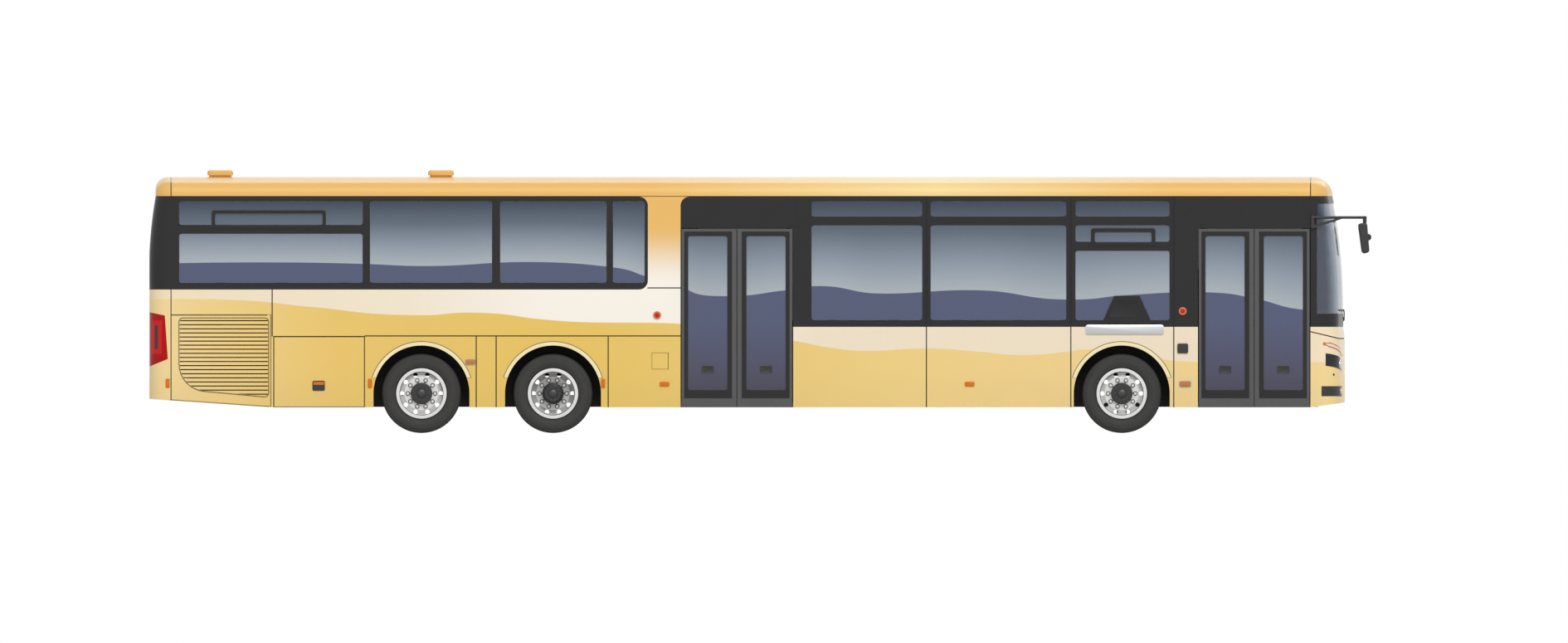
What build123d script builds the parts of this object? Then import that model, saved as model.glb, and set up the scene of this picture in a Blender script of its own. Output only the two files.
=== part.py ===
"""Three-axle low-entry city bus: separate panels, glass, doors, lids, axles and wheels.

Millimetres, +X forward, +Y left, +Z up, ground at z = 0. The doors are on the right.
"""
import os
from math import cos, radians, sin, sqrt

from build123d import *

os.makedirs("parts", exist_ok=True)

# Overall body
BODY_LENGTH = 14640
BODY_WIDTH = 2550
MIRROR_REACH = 326
ROOF_TOP = 3134
ROOF_DEPTH = 239
BELT_REAR_Z = 1757
BELT_FRONT_Z = 1300
SKIRT_Z = 315
WALL = 60
X_REAR = -(BODY_LENGTH + MIRROR_REACH) / 2
X_FRONT = X_REAR + BODY_LENGTH
X_MIRROR = X_FRONT + MIRROR_REACH
HALF_WIDTH = BODY_WIDTH / 2
INNER_HALF = HALF_WIDTH - WALL
CANTRAIL_Z = ROOF_TOP - ROOF_DEPTH

# Ends of the body
REAR_CAP = 265
FRONT_CAP = 420
REAR_CORNER = 230
FRONT_CORNER = 300
BOW = 90
REAR_LEAN = 75
REAR_LEAN_START = 5
SCREEN_FOOT = 20
SCREEN_MID = 38
SCREEN_LEAN = 150
SCREEN_MID_SHARE = 0.5
MASK_EDGE_Z = 1160
MASK_RISE = 60
CROWN_DROP = 70
ROOF_EDGE = 150
ROOF_NOSE = 240
TAIL_RISE = 102
X_REAR_CAP = X_REAR + REAR_CAP
X_FRONT_CAP = X_FRONT - FRONT_CAP
SCREEN_MID_Z = BELT_FRONT_Z + SCREEN_MID_SHARE * (CANTRAIL_Z - BELT_FRONT_Z)

# Doorways and bands on the side
BAND_LENGTH = 5840
PILLAR = 400
DOOR_WIDTH = 1380
DOOR_HEADER = 385
BAND_CORNER = 110
JOINT = 0.6
DOOR_TOP_Z = CANTRAIL_Z - DOOR_HEADER
X_BAND_END = X_REAR_CAP + BAND_LENGTH
X_MID_DOOR = X_BAND_END + PILLAR
X_BLOCK = X_MID_DOOR + DOOR_WIDTH
X_FRONT_DOOR = X_FRONT_CAP - DOOR_WIDTH
BLOCK_LENGTH = X_FRONT_DOOR - X_BLOCK

# Windows, with the heights of their top lights and bars as shares of the opening
WINDOW_HEAD = 60
WINDOW_SILL = 84
LIGHT_SHARE = 0.1261
REAR_LIGHT_SHARE = 0.2867
BAR_SHARE = 0.0758
REAR_BAR_SHARE = 0.1107
HOPPER_LIGHT_SHARE = 0.1378
WINDOW_CORNER = 30
GLASS = 10
GLASS_RECESS = 4
GLASS_FIT = 0.3
HEAD_Z = CANTRAIL_Z - WINDOW_HEAD
SILL_REAR_Z = BELT_REAR_Z + WINDOW_SILL
SILL_FRONT_Z = BELT_FRONT_Z + WINDOW_SILL
FRONT_OPENING = HEAD_Z - SILL_FRONT_Z
REAR_OPENING = HEAD_Z - SILL_REAR_Z
LIGHT_BAR = BAR_SHARE * FRONT_OPENING
REAR_LIGHT = REAR_LIGHT_SHARE * REAR_OPENING
HOPPER_LIGHT = HOPPER_LIGHT_SHARE * FRONT_OPENING
LIGHT_Z = HEAD_Z - LIGHT_SHARE * FRONT_OPENING
MAIN_Z = LIGHT_Z - LIGHT_BAR
HOPPER_LIGHT_Z = MAIN_Z - HOPPER_LIGHT
REAR_LIGHT_Z = HEAD_Z - REAR_LIGHT
REAR_MAIN_Z = REAR_LIGHT_Z - REAR_BAR_SHARE * REAR_OPENING
HOPPER_BAR = 0.158 * REAR_LIGHT
HOPPER_CORNER = HOPPER_BAR / 2
HOPPER_PROUD = 8

# Wheels and axles
TYRE_R = 485
TYRE_WIDTH = 280
RIM_R = 286
FLANGE_R = 308
WHEEL_Y = 1085
TWIN_SPACING = 320
FRONT_OVERHANG = 2732
DRIVE_TO_DOOR = 1562
TAG_SPACING = 1611
ARCH_R = 588
LIP = 44
LIP_PROUD = 8
LIP_START = 195
LINER = 10
LINER_INNER_Y = 560
SPINDLE_R = 50
KINGPIN_Y = 960
KINGPIN_R = 28
FORK_HALF = 100
EYE_HALF = 70
EYE_R = 55
HUB_R = 132
NUT_CIRCLE_R = 167.5
HAND_HOLE_R = 28
RUN = 0.3
X_FRONT_AXLE = X_FRONT - FRONT_OVERHANG
X_DRIVE_AXLE = X_MID_DOOR - DRIVE_TO_DOOR
X_TAG_AXLE = X_DRIVE_AXLE - TAG_SPACING

# Floor and frame
LOW_FLOOR_Z = 380
HIGH_FLOOR_Z = 910
FLOOR = 60
RAIL_Y = 470
RAIL_WIDTH = 80
RAIL_HEIGHT = 150
RAIL_Z = HIGH_FLOOR_Z - FLOOR - RAIL_HEIGHT
X_STEP = X_MID_DOOR - 60

# Doors
LEAF = 45
LEAF_GAP = 12
LEAF_FOOT_Z = 322
LEAF_HEAD_GAP = 10
DOOR_PILLAR_R = 22
DOOR_PILLAR_IN = 60
DOOR_PILLAR_DEPTH = 87
PIN_IN = 395
PIN_RISE = 20
PIN_R = 10
ARM_WIDTH = 30
ARM_HEIGHT = 40
DOOR_GLASS_EDGE = 82
DOOR_GLASS_MEET = 112
DOOR_GLASS_FOOT = 206
DOOR_GLASS_HEAD = 88
LEAF_WIDTH = (DOOR_WIDTH - 3 * LEAF_GAP) / 2

# Lids
FLAP = 30
FLAP_GAP = 5
LEDGE = 45
FLAP_POST = 24
FLAP_FOOT = 15
HINGE_R = FLAP / 2
HINGE_PIN_R = 7
HINGE_PIN = 34
FILLER_FLAP = 20
FILLER_PIN_R = 4
FILLER_PIN = 20
RADIATOR_SHARE = 0.52125
RADIATOR_FLAP_TOP = 1453
SERVICE_POST = 58
SERVICE_FLAP_TOP = 1189
LID_HALF = 880
LID_FOOT_Z = 620
LID_TOP_Z = 1540
FILLER_X = X_MID_DOOR - 250
FILLER_Z = 883
FILLER = 205
GROOVE = 14
GROOVE_DEPTH = 10
SLAT_PITCH = 50
SLAT_SLOT = 14
X_SERVICE = X_TAG_AXLE - ARCH_R - LIP - SERVICE_POST
X_RADIATOR = X_REAR_CAP + RADIATOR_SHARE * (X_SERVICE - X_REAR_CAP)
X_TAIL_FLAT = X_RADIATOR - 10

RIGHT_FACE = Plane.XZ.offset(HALF_WIDTH)


def block(x0, x1, y0, y1, z0, z1, mode=Mode.ADD):
    """Box by its limits in the open part."""
    with Locations(((x0 + x1) / 2, (y0 + y1) / 2, (z0 + z1) / 2)):
        Box(x1 - x0, y1 - y0, z1 - z0, mode=mode)


def panel(x0, x1, z0, z1, corner=0, mode=Mode.ADD):
    """Rectangle by its limits in the open sketch."""
    with Locations(((x0 + x1) / 2, (z0 + z1) / 2)):
        if corner:
            RectangleRounded(x1 - x0, z1 - z0, corner, mode=mode)
        else:
            Rectangle(x1 - x0, z1 - z0, mode=mode)


def arch_opening(x, radius, foot, mode=Mode.ADD):
    """Half round with straight legs, in the open side sketch."""
    with Locations((x, TYRE_R)):
        Circle(radius, mode=mode)
    panel(x - radius, x + radius, foot, TYRE_R, mode=mode)
    panel(x - radius, x + radius, TYRE_R - radius - 10, foot, mode=Mode.SUBTRACT)


def write(shape, name):
    """Label one piece and write its file."""
    shape.label = name
    export_step(shape, f"parts/{name}.step")


def body_outline(z, rear_setback, front_setback, inset):
    """Plan outline of the body with round corners at one height."""
    half = HALF_WIDTH - inset
    tail = X_REAR + rear_setback + inset
    nose = X_FRONT - front_setback - inset
    shoulder = nose - BOW
    with BuildSketch(Plane.XY.offset(z)) as outline:
        with BuildLine():
            Polyline((shoulder, -half), (tail, -half), (tail, half), (shoulder, half))
            ThreePointArc((shoulder, half), (nose, 0), (shoulder, -half))
        make_face()
        fillet(outline.vertices().group_by(Axis.X)[-1], FRONT_CORNER - inset)
        fillet(outline.vertices().group_by(Axis.X)[0], REAR_CORNER - inset)
    return outline.sketch


def body_form(levels, inset, ruled=False):
    """Solid of the body between the heights in a table of z, rear and front setback."""
    sections = [body_outline(z, rear, front, inset) for z, rear, front in levels]
    with BuildPart() as form:
        loft(sections, ruled=ruled)
    return form.part


def roof_form(inset):
    """Crowned roof with a rounded edge all round."""
    outline = body_outline(CANTRAIL_Z, REAR_LEAN, SCREEN_LEAN, inset)
    top = ROOF_TOP - inset
    half = HALF_WIDTH - inset
    with BuildPart() as form:
        extrude(outline, amount=top - CANTRAIL_Z)
        with BuildSketch(Plane.YZ.offset(X_REAR)) as crown:
            with BuildLine():
                Polyline(
                    (half, top - CROWN_DROP), (half, CANTRAIL_Z), (-half, CANTRAIL_Z), (-half, top - CROWN_DROP)
                )
                ThreePointArc((-half, top - CROWN_DROP), (0, top), (half, top - CROWN_DROP))
            make_face()
        extrude(amount=BODY_LENGTH, mode=Mode.INTERSECT)
        fillet(form.faces().sort_by(Axis.Z)[-1].edges(), ROOF_EDGE - inset)
        with BuildSketch(Plane.XZ) as nose:
            panel(X_REAR, X_FRONT - SCREEN_LEAN - inset, CANTRAIL_Z, top)
            fillet(nose.vertices().group_by(Axis.X)[-1].sort_by(Axis.Y)[-1], ROOF_NOSE - inset - 2)
        extrude(amount=HALF_WIDTH, both=True, mode=Mode.INTERSECT)
    return form.part


# Roof panel and its two end caps
roof_outer = roof_form(0)
roof_inner = roof_form(WALL)
with BuildPart() as roof:
    add(roof_outer)
    add(roof_inner, mode=Mode.SUBTRACT)
    block(X_REAR_CAP, X_FRONT_CAP, -HALF_WIDTH, HALF_WIDTH, CANTRAIL_Z, ROOF_TOP, mode=Mode.INTERSECT)
write(roof.part, "roof")

with BuildPart() as roof_caps:
    add(roof_outer)
    add(roof_inner, mode=Mode.SUBTRACT)
    block(X_REAR_CAP, X_FRONT_CAP, -HALF_WIDTH, HALF_WIDTH, CANTRAIL_Z, ROOF_TOP, mode=Mode.SUBTRACT)
write(roof_caps.part, "roof_caps")

# Windscreen in its black frame, with the blank destination box behind its head
SCREEN_POST = 82
SCREEN_SILL_Z = BELT_FRONT_Z + 163
SCREEN_HEAD_Z = CANTRAIL_Z - 85
SIGN_DEPTH = 180
SIGN_HALF = 880
SIGN_Z = CANTRAIL_Z - 275
SCREEN_LEVELS = [
    (BELT_FRONT_Z, 0, SCREEN_FOOT),
    (SCREEN_MID_Z, 0, SCREEN_MID),
    (CANTRAIL_Z, REAR_LEAN, SCREEN_LEAN),
]
screen_outer = body_form(SCREEN_LEVELS, 0)
screen_inner = body_form(SCREEN_LEVELS, WALL)
with BuildPart() as windscreen_frame:
    add(screen_outer)
    add(screen_inner, mode=Mode.SUBTRACT)
    block(X_FRONT_CAP, X_FRONT, -HALF_WIDTH, HALF_WIDTH, BELT_FRONT_Z, CANTRAIL_Z, mode=Mode.INTERSECT)
    block(
        X_FRONT_CAP + SCREEN_POST, X_FRONT, -HALF_WIDTH, HALF_WIDTH, SCREEN_SILL_Z, SCREEN_HEAD_Z, mode=Mode.SUBTRACT
    )
    sign_front = X_FRONT - SCREEN_LEAN - WALL - BOW / 2
    block(sign_front - SIGN_DEPTH, sign_front, -SIGN_HALF, SIGN_HALF, SIGN_Z, CANTRAIL_Z)
write(windscreen_frame.part, "windscreen_frame")

with BuildPart() as windscreen:
    add(body_form(SCREEN_LEVELS, GLASS_RECESS))
    add(body_form(SCREEN_LEVELS, GLASS_RECESS + GLASS), mode=Mode.SUBTRACT)
    block(
        X_FRONT_CAP + SCREEN_POST + GLASS_FIT,
        X_FRONT,
        -HALF_WIDTH,
        HALF_WIDTH,
        SCREEN_SILL_Z + GLASS_FIT,
        SCREEN_HEAD_Z - GLASS_FIT,
        mode=Mode.INTERSECT,
    )
write(windscreen.part, "windscreen")

# Painted front mask with pockets for the lamps
MASK_LEVELS = [(SKIRT_Z, 0, 0), (MASK_EDGE_Z, 0, 0), (BELT_FRONT_Z, 0, SCREEN_FOOT)]
mask_outer = body_form(MASK_LEVELS, 0, ruled=True)
mask_inner = body_form(MASK_LEVELS, WALL, ruled=True)
LAMP_FIT = 0.5
HEADLAMP = [(820, 722), (1290, 832), (1290, 985), (820, 880)]
STRIP = [(840, 925), (1290, 1085), (1290, 1122), (840, 962)]
FOG = [(800, 450), (1290, 450), (1290, 575), (800, 575)]
LAMPS = [(HEADLAMP, 236), (STRIP, 267), (FOG, 287)]
RIM_SIDE_Z = BELT_FRONT_Z - 52
RIM_FRONT_Z = BELT_FRONT_Z - 135
RIM_REACH = 347
with BuildPart() as mask_shell:
    add(mask_outer)
    add(mask_inner, mode=Mode.SUBTRACT)
    block(X_FRONT_CAP, X_FRONT, -HALF_WIDTH, HALF_WIDTH, SKIRT_Z, BELT_FRONT_Z, mode=Mode.INTERSECT)
    with BuildSketch(Plane.XZ) as chin:
        with BuildLine():
            Polyline(
                (X_FRONT_CAP, SKIRT_Z), (X_FRONT, SKIRT_Z + MASK_RISE), (X_FRONT, SKIRT_Z), (X_FRONT_CAP, SKIRT_Z)
            )
        make_face()
    extrude(amount=HALF_WIDTH, both=True, mode=Mode.SUBTRACT)


def lamp_blanks(grow):
    """Lamp shapes seen from the front, run back through the corners of the mask."""
    with BuildPart() as blanks:
        for corners, reach in LAMPS:
            with BuildSketch(Plane.YZ.offset(X_FRONT - reach - grow)):
                with BuildLine():
                    Polyline(*corners, close=True)
                make_face()
                offset(amount=grow, kind=Kind.INTERSECTION, mode=Mode.REPLACE)
                mirror(about=Plane.YZ)
            extrude(amount=reach + 64)
    return blanks.part


# Joint under the rim of the mask, falling from the sides to the front
with BuildPart() as rim_joint:
    with BuildSketch(Plane.XZ):
        with BuildLine():
            Polyline(
                (X_FRONT_CAP, RIM_SIDE_Z),
                (X_FRONT_CAP + RIM_REACH, RIM_FRONT_Z),
                (X_FRONT, RIM_FRONT_Z),
                (X_FRONT, RIM_FRONT_Z - GROOVE),
                (X_FRONT_CAP + RIM_REACH, RIM_FRONT_Z - GROOVE),
                (X_FRONT_CAP, RIM_SIDE_Z - GROOVE),
                close=True,
            )
        make_face()
    extrude(amount=HALF_WIDTH, both=True)
    add(body_form(MASK_LEVELS, GROOVE_DEPTH, ruled=True), mode=Mode.SUBTRACT)

lamp_cut = lamp_blanks(LAMP_FIT)
with BuildPart() as front_mask:
    add(mask_shell.part)
    add(lamp_cut, mode=Mode.SUBTRACT)
    add(rim_joint.part, mode=Mode.SUBTRACT)
write(front_mask.part, "front_mask")

with BuildPart() as headlamps:
    add(mask_shell.part)
    add(lamp_blanks(0), mode=Mode.INTERSECT)
write(headlamps.part, "headlamps")

# Rear frame with the rear window
REAR_MID_Z = BELT_REAR_Z + 0.477 * (CANTRAIL_Z - BELT_REAR_Z)
REAR_LEVELS = [(BELT_REAR_Z, 0, 0), (REAR_MID_Z, REAR_LEAN_START, 0), (CANTRAIL_Z, REAR_LEAN, 0)]
REAR_WINDOW_HALF = 980
REAR_WINDOW_FOOT_Z = BELT_REAR_Z + 93
REAR_WINDOW_HEAD_Z = CANTRAIL_Z - 155
rear_outer = body_form(REAR_LEVELS, 0)
rear_inner = body_form(REAR_LEVELS, WALL)
with BuildPart() as rear_frame:
    add(rear_outer)
    add(rear_inner, mode=Mode.SUBTRACT)
    split(bisect_by=Plane.YZ.offset(X_REAR_CAP), keep=Keep.BOTTOM)
    split(bisect_by=Plane.YZ.offset(X_REAR), keep=Keep.TOP)
    block(
        X_REAR,
        X_REAR_CAP,
        -REAR_WINDOW_HALF,
        REAR_WINDOW_HALF,
        REAR_WINDOW_FOOT_Z,
        REAR_WINDOW_HEAD_Z,
        mode=Mode.SUBTRACT,
    )
write(rear_frame.part, "rear_frame")

with BuildPart() as rear_window:
    add(body_form(REAR_LEVELS, GLASS_RECESS))
    add(body_form(REAR_LEVELS, GLASS_RECESS + GLASS), mode=Mode.SUBTRACT)
    block(
        X_REAR,
        X_REAR_CAP,
        GLASS_FIT - REAR_WINDOW_HALF,
        REAR_WINDOW_HALF - GLASS_FIT,
        REAR_WINDOW_FOOT_Z + GLASS_FIT,
        REAR_WINDOW_HEAD_Z - GLASS_FIT,
        mode=Mode.INTERSECT,
    )
write(rear_window.part, "rear_window")

# Rear corner shell, tail lamps and the engine lid
TAIL_LEVELS = [(SKIRT_Z, 0, 0), (BELT_REAR_Z, 0, 0)]
TAIL_LAMP = [(0, 815), (226, 905), (190, 1440), (0, 1480)]
TAIL_LAMP_INNER_Y = 1010
with BuildPart() as tail_shell:
    add(body_form(TAIL_LEVELS, 0, ruled=True))
    add(body_form(TAIL_LEVELS, WALL, ruled=True), mode=Mode.SUBTRACT)
    block(X_REAR, X_REAR_CAP, -HALF_WIDTH, HALF_WIDTH, SKIRT_Z, BELT_REAR_Z, mode=Mode.INTERSECT)


def tail_wedge():
    """Space below the rising tail."""
    with BuildPart() as wedge:
        with BuildSketch(Plane.XZ):
            with BuildLine():
                Polyline(
                    (X_REAR, SKIRT_Z + TAIL_RISE),
                    (X_TAIL_FLAT, SKIRT_Z),
                    (X_REAR, SKIRT_Z),
                    close=True,
                )
            make_face()
        extrude(amount=HALF_WIDTH, both=True)
    return wedge.part


def tail_lamp_blanks(grow):
    """Tail lamp shape seen from the side, run in from both sides."""
    with BuildPart() as blanks:
        with BuildSketch(RIGHT_FACE):
            with BuildLine():
                Polyline(*[(X_REAR + station, z) for station, z in TAIL_LAMP], close=True)
            make_face()
            offset(amount=grow, kind=Kind.INTERSECTION, mode=Mode.REPLACE)
        extrude(amount=TAIL_LAMP_INNER_Y - HALF_WIDTH - grow)
        mirror(about=Plane.XZ)
    return blanks.part


LID_HINGE_Z = LID_TOP_Z - FLAP_GAP - HINGE_R
wedge = tail_wedge()
tail_lamp_cut = tail_lamp_blanks(LAMP_FIT)
with BuildPart() as rear_shell:
    add(tail_shell.part)
    add(wedge, mode=Mode.SUBTRACT)
    add(tail_lamp_cut, mode=Mode.SUBTRACT)
    block(X_REAR, X_REAR + FLAP + FLAP_GAP, -LID_HALF, LID_HALF, LID_FOOT_Z, LID_TOP_Z, mode=Mode.SUBTRACT)
    block(
        X_REAR, X_REAR_CAP, LEDGE - LID_HALF, LID_HALF - LEDGE, LID_FOOT_Z + LEDGE, LID_TOP_Z - LEDGE, mode=Mode.SUBTRACT
    )
    for side in (-1, 1):
        with Locations((X_REAR + HINGE_R, side * (LID_HALF - HINGE_PIN / 2 + 1), LID_HINGE_Z)):
            Cylinder(HINGE_PIN_R, HINGE_PIN + 2, rotation=(90, 0, 0))
write(rear_shell.part, "rear_shell")

with BuildPart() as tail_lamps:
    add(tail_shell.part)
    add(tail_lamp_blanks(0), mode=Mode.INTERSECT)
write(tail_lamps.part, "tail_lamps")

with BuildPart() as engine_lid:
    lid_half = LID_HALF - FLAP_GAP
    block(X_REAR, X_REAR + FLAP, -lid_half, lid_half, LID_FOOT_Z + FLAP_GAP, LID_TOP_Z - FLAP_GAP)
    fillet(engine_lid.faces().sort_by(Axis.Z)[-1].edges().filter_by(Axis.Y), HINGE_R - 0.1)
    for side in (-1, 1):
        with Locations((X_REAR + HINGE_R, side * (LID_HALF - HINGE_PIN / 2), LID_HINGE_Z)):
            Cylinder(HINGE_PIN_R + RUN, HINGE_PIN + 2, rotation=(90, 0, 0), mode=Mode.SUBTRACT)
    with BuildSketch(Plane.YZ.offset(X_REAR)):
        with GridLocations(0, SLAT_PITCH, 1, 7):
            with Locations((0, 1180)):
                SlotOverall(1300, SLAT_SLOT)
    extrude(amount=FLAP, mode=Mode.SUBTRACT)
write(engine_lid.part, "engine_lid")

# Outlines of the black window bands on the side
with BuildSketch(RIGHT_FACE) as rear_band_outline:
    panel(X_REAR_CAP, X_BAND_END, BELT_REAR_Z, CANTRAIL_Z)
    fillet(rear_band_outline.vertices().group_by(Axis.X)[-1], BAND_CORNER)

with BuildSketch(RIGHT_FACE) as mid_header_outline:
    panel(X_MID_DOOR, X_BLOCK - JOINT, DOOR_TOP_Z, CANTRAIL_Z)
    fillet(mid_header_outline.vertices().group_by(Axis.X)[0].sort_by(Axis.Y)[-1], BAND_CORNER)

with BuildSketch(RIGHT_FACE) as left_band_outline:
    panel(X_MID_DOOR, X_FRONT_CAP, BELT_FRONT_Z, CANTRAIL_Z)
    fillet(left_band_outline.vertices().group_by(Axis.X)[0].sort_by(Axis.Y)[-1], BAND_CORNER)

# Window tables: start and end as shares of the band, foot and head heights
REAR_PANES = [
    (0.0174, 0.4017, SILL_REAR_Z, REAR_MAIN_Z),
    (0.0174, 0.4017, REAR_LIGHT_Z, HEAD_Z),
    (0.4174, 0.6730, SILL_REAR_Z, HEAD_Z),
    (0.6904, 0.9130, SILL_REAR_Z, HEAD_Z),
    (0.9270, 0.9930, SILL_REAR_Z, HEAD_Z),
]
BLOCK_PANES = [
    (0.0453, 0.3189, LIGHT_Z, HEAD_Z),
    (0.0453, 0.3189, SILL_FRONT_Z, MAIN_Z),
    (0.3395, 0.6749, LIGHT_Z, HEAD_Z),
    (0.3395, 0.6749, SILL_FRONT_Z, MAIN_Z),
    (0.6975, 0.9300, LIGHT_Z, HEAD_Z),
    (0.6975, 0.9300, HOPPER_LIGHT_Z, MAIN_Z),
    (0.6975, 0.9300, SILL_FRONT_Z, HOPPER_LIGHT_Z - LIGHT_BAR),
]
LEFT_PANES = [
    (0.0227, 0.1900, SILL_FRONT_Z, HEAD_Z),
    (0.2080, 0.3828, LIGHT_Z, HEAD_Z),
    (0.2080, 0.3828, SILL_FRONT_Z, MAIN_Z),
    (0.3957, 0.6101, LIGHT_Z, HEAD_Z),
    (0.3957, 0.6101, SILL_FRONT_Z, MAIN_Z),
    (0.6243, 0.7732, LIGHT_Z, HEAD_Z),
    (0.6243, 0.7732, SILL_FRONT_Z, MAIN_Z),
    (0.7990, 0.9860, SILL_FRONT_Z, HEAD_Z),
]
LEFT_BAND_LENGTH = X_FRONT_CAP - X_MID_DOOR
HOPPERS = [
    (
        X_REAR_CAP + 0.0850 * BAND_LENGTH,
        X_REAR_CAP + 0.3250 * BAND_LENGTH,
        REAR_LIGHT_Z - HOPPER_BAR,
        REAR_LIGHT_Z + 4 * HOPPER_BAR,
    ),
    (
        X_BLOCK + 0.7360 * BLOCK_LENGTH,
        X_BLOCK + 0.8950 * BLOCK_LENGTH,
        HOPPER_LIGHT_Z - 0.25 * HOPPER_LIGHT,
        HOPPER_LIGHT_Z + 0.825 * HOPPER_LIGHT,
    ),
]


def pane_shapes(panes, start, length, fit, corner, mode):
    """Window openings, or the panes that fit them, in the open side sketch."""
    for first, last, foot, head in panes:
        panel(start + first * length + fit, start + last * length - fit, foot + fit, head - fit, corner - fit, mode)


def hopper_shapes(fit, mode, inner_mode):
    """Hopper window frames in the open side sketch."""
    for x0, x1, z0, z1 in HOPPERS:
        panel(x0 - fit, x1 + fit, z0 - fit, z1 + fit, WINDOW_CORNER + fit, mode)
        panel(
            x0 + HOPPER_BAR + fit,
            x1 - HOPPER_BAR - fit,
            z0 + HOPPER_BAR + fit,
            z1 - HOPPER_BAR - fit,
            HOPPER_CORNER - fit,
            inner_mode,
        )


def hopper_frame(hopper):
    """Raised ring of one hopper window in the open side sketch."""
    x0, x1, z0, z1 = hopper
    panel(x0, x1, z0, z1, WINDOW_CORNER)
    panel(
        x0 + HOPPER_BAR, x1 - HOPPER_BAR, z0 + HOPPER_BAR, z1 - HOPPER_BAR, HOPPER_CORNER, mode=Mode.SUBTRACT
    )


COVER_FOOT_Z = BELT_FRONT_Z + 41
COVER_HEAD_Z = SILL_FRONT_Z + 296

# Window bands: rear band, headers over the doors and the block between them, left bands
with BuildPart() as rear_band:
    with BuildSketch(RIGHT_FACE):
        add(rear_band_outline.sketch_local)
        pane_shapes(REAR_PANES, X_REAR_CAP, BAND_LENGTH, 0, WINDOW_CORNER, Mode.SUBTRACT)
        hopper_frame(HOPPERS[0])
    extrude(amount=-WALL)
    with BuildSketch(RIGHT_FACE):
        hopper_frame(HOPPERS[0])
    extrude(amount=HOPPER_PROUD)

with BuildPart() as mid_block:
    with BuildSketch(RIGHT_FACE):
        panel(X_BLOCK, X_FRONT_DOOR - JOINT, BELT_FRONT_Z, CANTRAIL_Z)
        pane_shapes(BLOCK_PANES, X_BLOCK, BLOCK_LENGTH, 0, WINDOW_CORNER, Mode.SUBTRACT)
        hopper_frame(HOPPERS[1])
    extrude(amount=-WALL)
    with BuildSketch(RIGHT_FACE):
        hopper_frame(HOPPERS[1])
    extrude(amount=HOPPER_PROUD)
    with BuildSketch(RIGHT_FACE):
        with BuildLine():
            Polyline(
                (X_FRONT_AXLE - 244, COVER_FOOT_Z),
                (X_FRONT_AXLE - 92, COVER_HEAD_Z),
                (X_FRONT_AXLE + 218, COVER_HEAD_Z),
                (X_FRONT_AXLE + 371, COVER_FOOT_Z),
                close=True,
            )
        make_face()
    extrude(amount=HOPPER_PROUD)
    with BuildSketch(RIGHT_FACE):
        for share in (0.3292, 0.6862, 0.9405):
            x = X_BLOCK + share * BLOCK_LENGTH
            panel(x - GROOVE / 2, x + GROOVE / 2, BELT_FRONT_Z, CANTRAIL_Z)
    extrude(amount=-GROOVE_DEPTH, mode=Mode.SUBTRACT)

with BuildPart() as headers:
    with BuildSketch(RIGHT_FACE):
        add(mid_header_outline.sketch_local)
        panel(X_FRONT_DOOR, X_FRONT_CAP, DOOR_TOP_Z, CANTRAIL_Z)
    extrude(amount=-WALL)

with BuildPart() as left_band:
    with BuildSketch(RIGHT_FACE):
        add(left_band_outline.sketch_local)
        pane_shapes(LEFT_PANES, X_MID_DOOR, LEFT_BAND_LENGTH, 0, WINDOW_CORNER, Mode.SUBTRACT)
    extrude(amount=-WALL)

with BuildPart() as window_bands:
    add(rear_band.part)
    add(mid_block.part)
    add(headers.part)
    mirror([rear_band.part, left_band.part], about=Plane.XZ)
write(window_bands.part, "window_bands")

# Side glass in the bands
PANE_FACE = RIGHT_FACE.offset(-GLASS_RECESS)
with BuildPart() as rear_panes:
    with BuildSketch(PANE_FACE):
        pane_shapes(REAR_PANES, X_REAR_CAP, BAND_LENGTH, GLASS_FIT, WINDOW_CORNER, Mode.ADD)
        hopper_shapes(GLASS_FIT, Mode.SUBTRACT, Mode.ADD)
        panel(X_BLOCK - DOOR_WIDTH, X_FRONT_CAP, BELT_FRONT_Z, CANTRAIL_Z, mode=Mode.SUBTRACT)
    extrude(amount=-GLASS)

with BuildPart() as block_panes:
    with BuildSketch(PANE_FACE):
        pane_shapes(BLOCK_PANES, X_BLOCK, BLOCK_LENGTH, GLASS_FIT, WINDOW_CORNER, Mode.ADD)
        hopper_shapes(GLASS_FIT, Mode.SUBTRACT, Mode.ADD)
        panel(X_REAR_CAP, X_MID_DOOR, BELT_FRONT_Z, CANTRAIL_Z, mode=Mode.SUBTRACT)
    extrude(amount=-GLASS)

with BuildPart() as left_panes:
    with BuildSketch(PANE_FACE):
        pane_shapes(LEFT_PANES, X_MID_DOOR, LEFT_BAND_LENGTH, GLASS_FIT, WINDOW_CORNER, Mode.ADD)
    extrude(amount=-GLASS)

with BuildPart() as side_glass:
    add(rear_panes.part)
    add(block_panes.part)
    mirror([rear_panes.part, left_panes.part], about=Plane.XZ)
write(side_glass.part, "side_glass")

# Painted side walls with wheel arches, recesses for the flaps and joint grooves
X_RADIATOR_HINGE = X_RADIATOR - FLAP_POST / 2 - FLAP_GAP - HINGE_R
SERVICE_HINGE_Z = SERVICE_FLAP_TOP - FLAP_GAP - HINGE_R
X_FILLER_HINGE = FILLER_X + FILLER / 2 - FLAP_GAP - FILLER_FLAP / 2


def arch_lip(x):
    """Raised lip over one wheel arch in the open side sketch."""
    with Locations((x, TYRE_R)):
        Circle(ARCH_R + LIP)
        Circle(ARCH_R, mode=Mode.SUBTRACT)
    panel(x - ARCH_R - LIP, x + ARCH_R + LIP, TYRE_R - ARCH_R - LIP, TYRE_R + LIP_START, mode=Mode.SUBTRACT)


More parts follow.
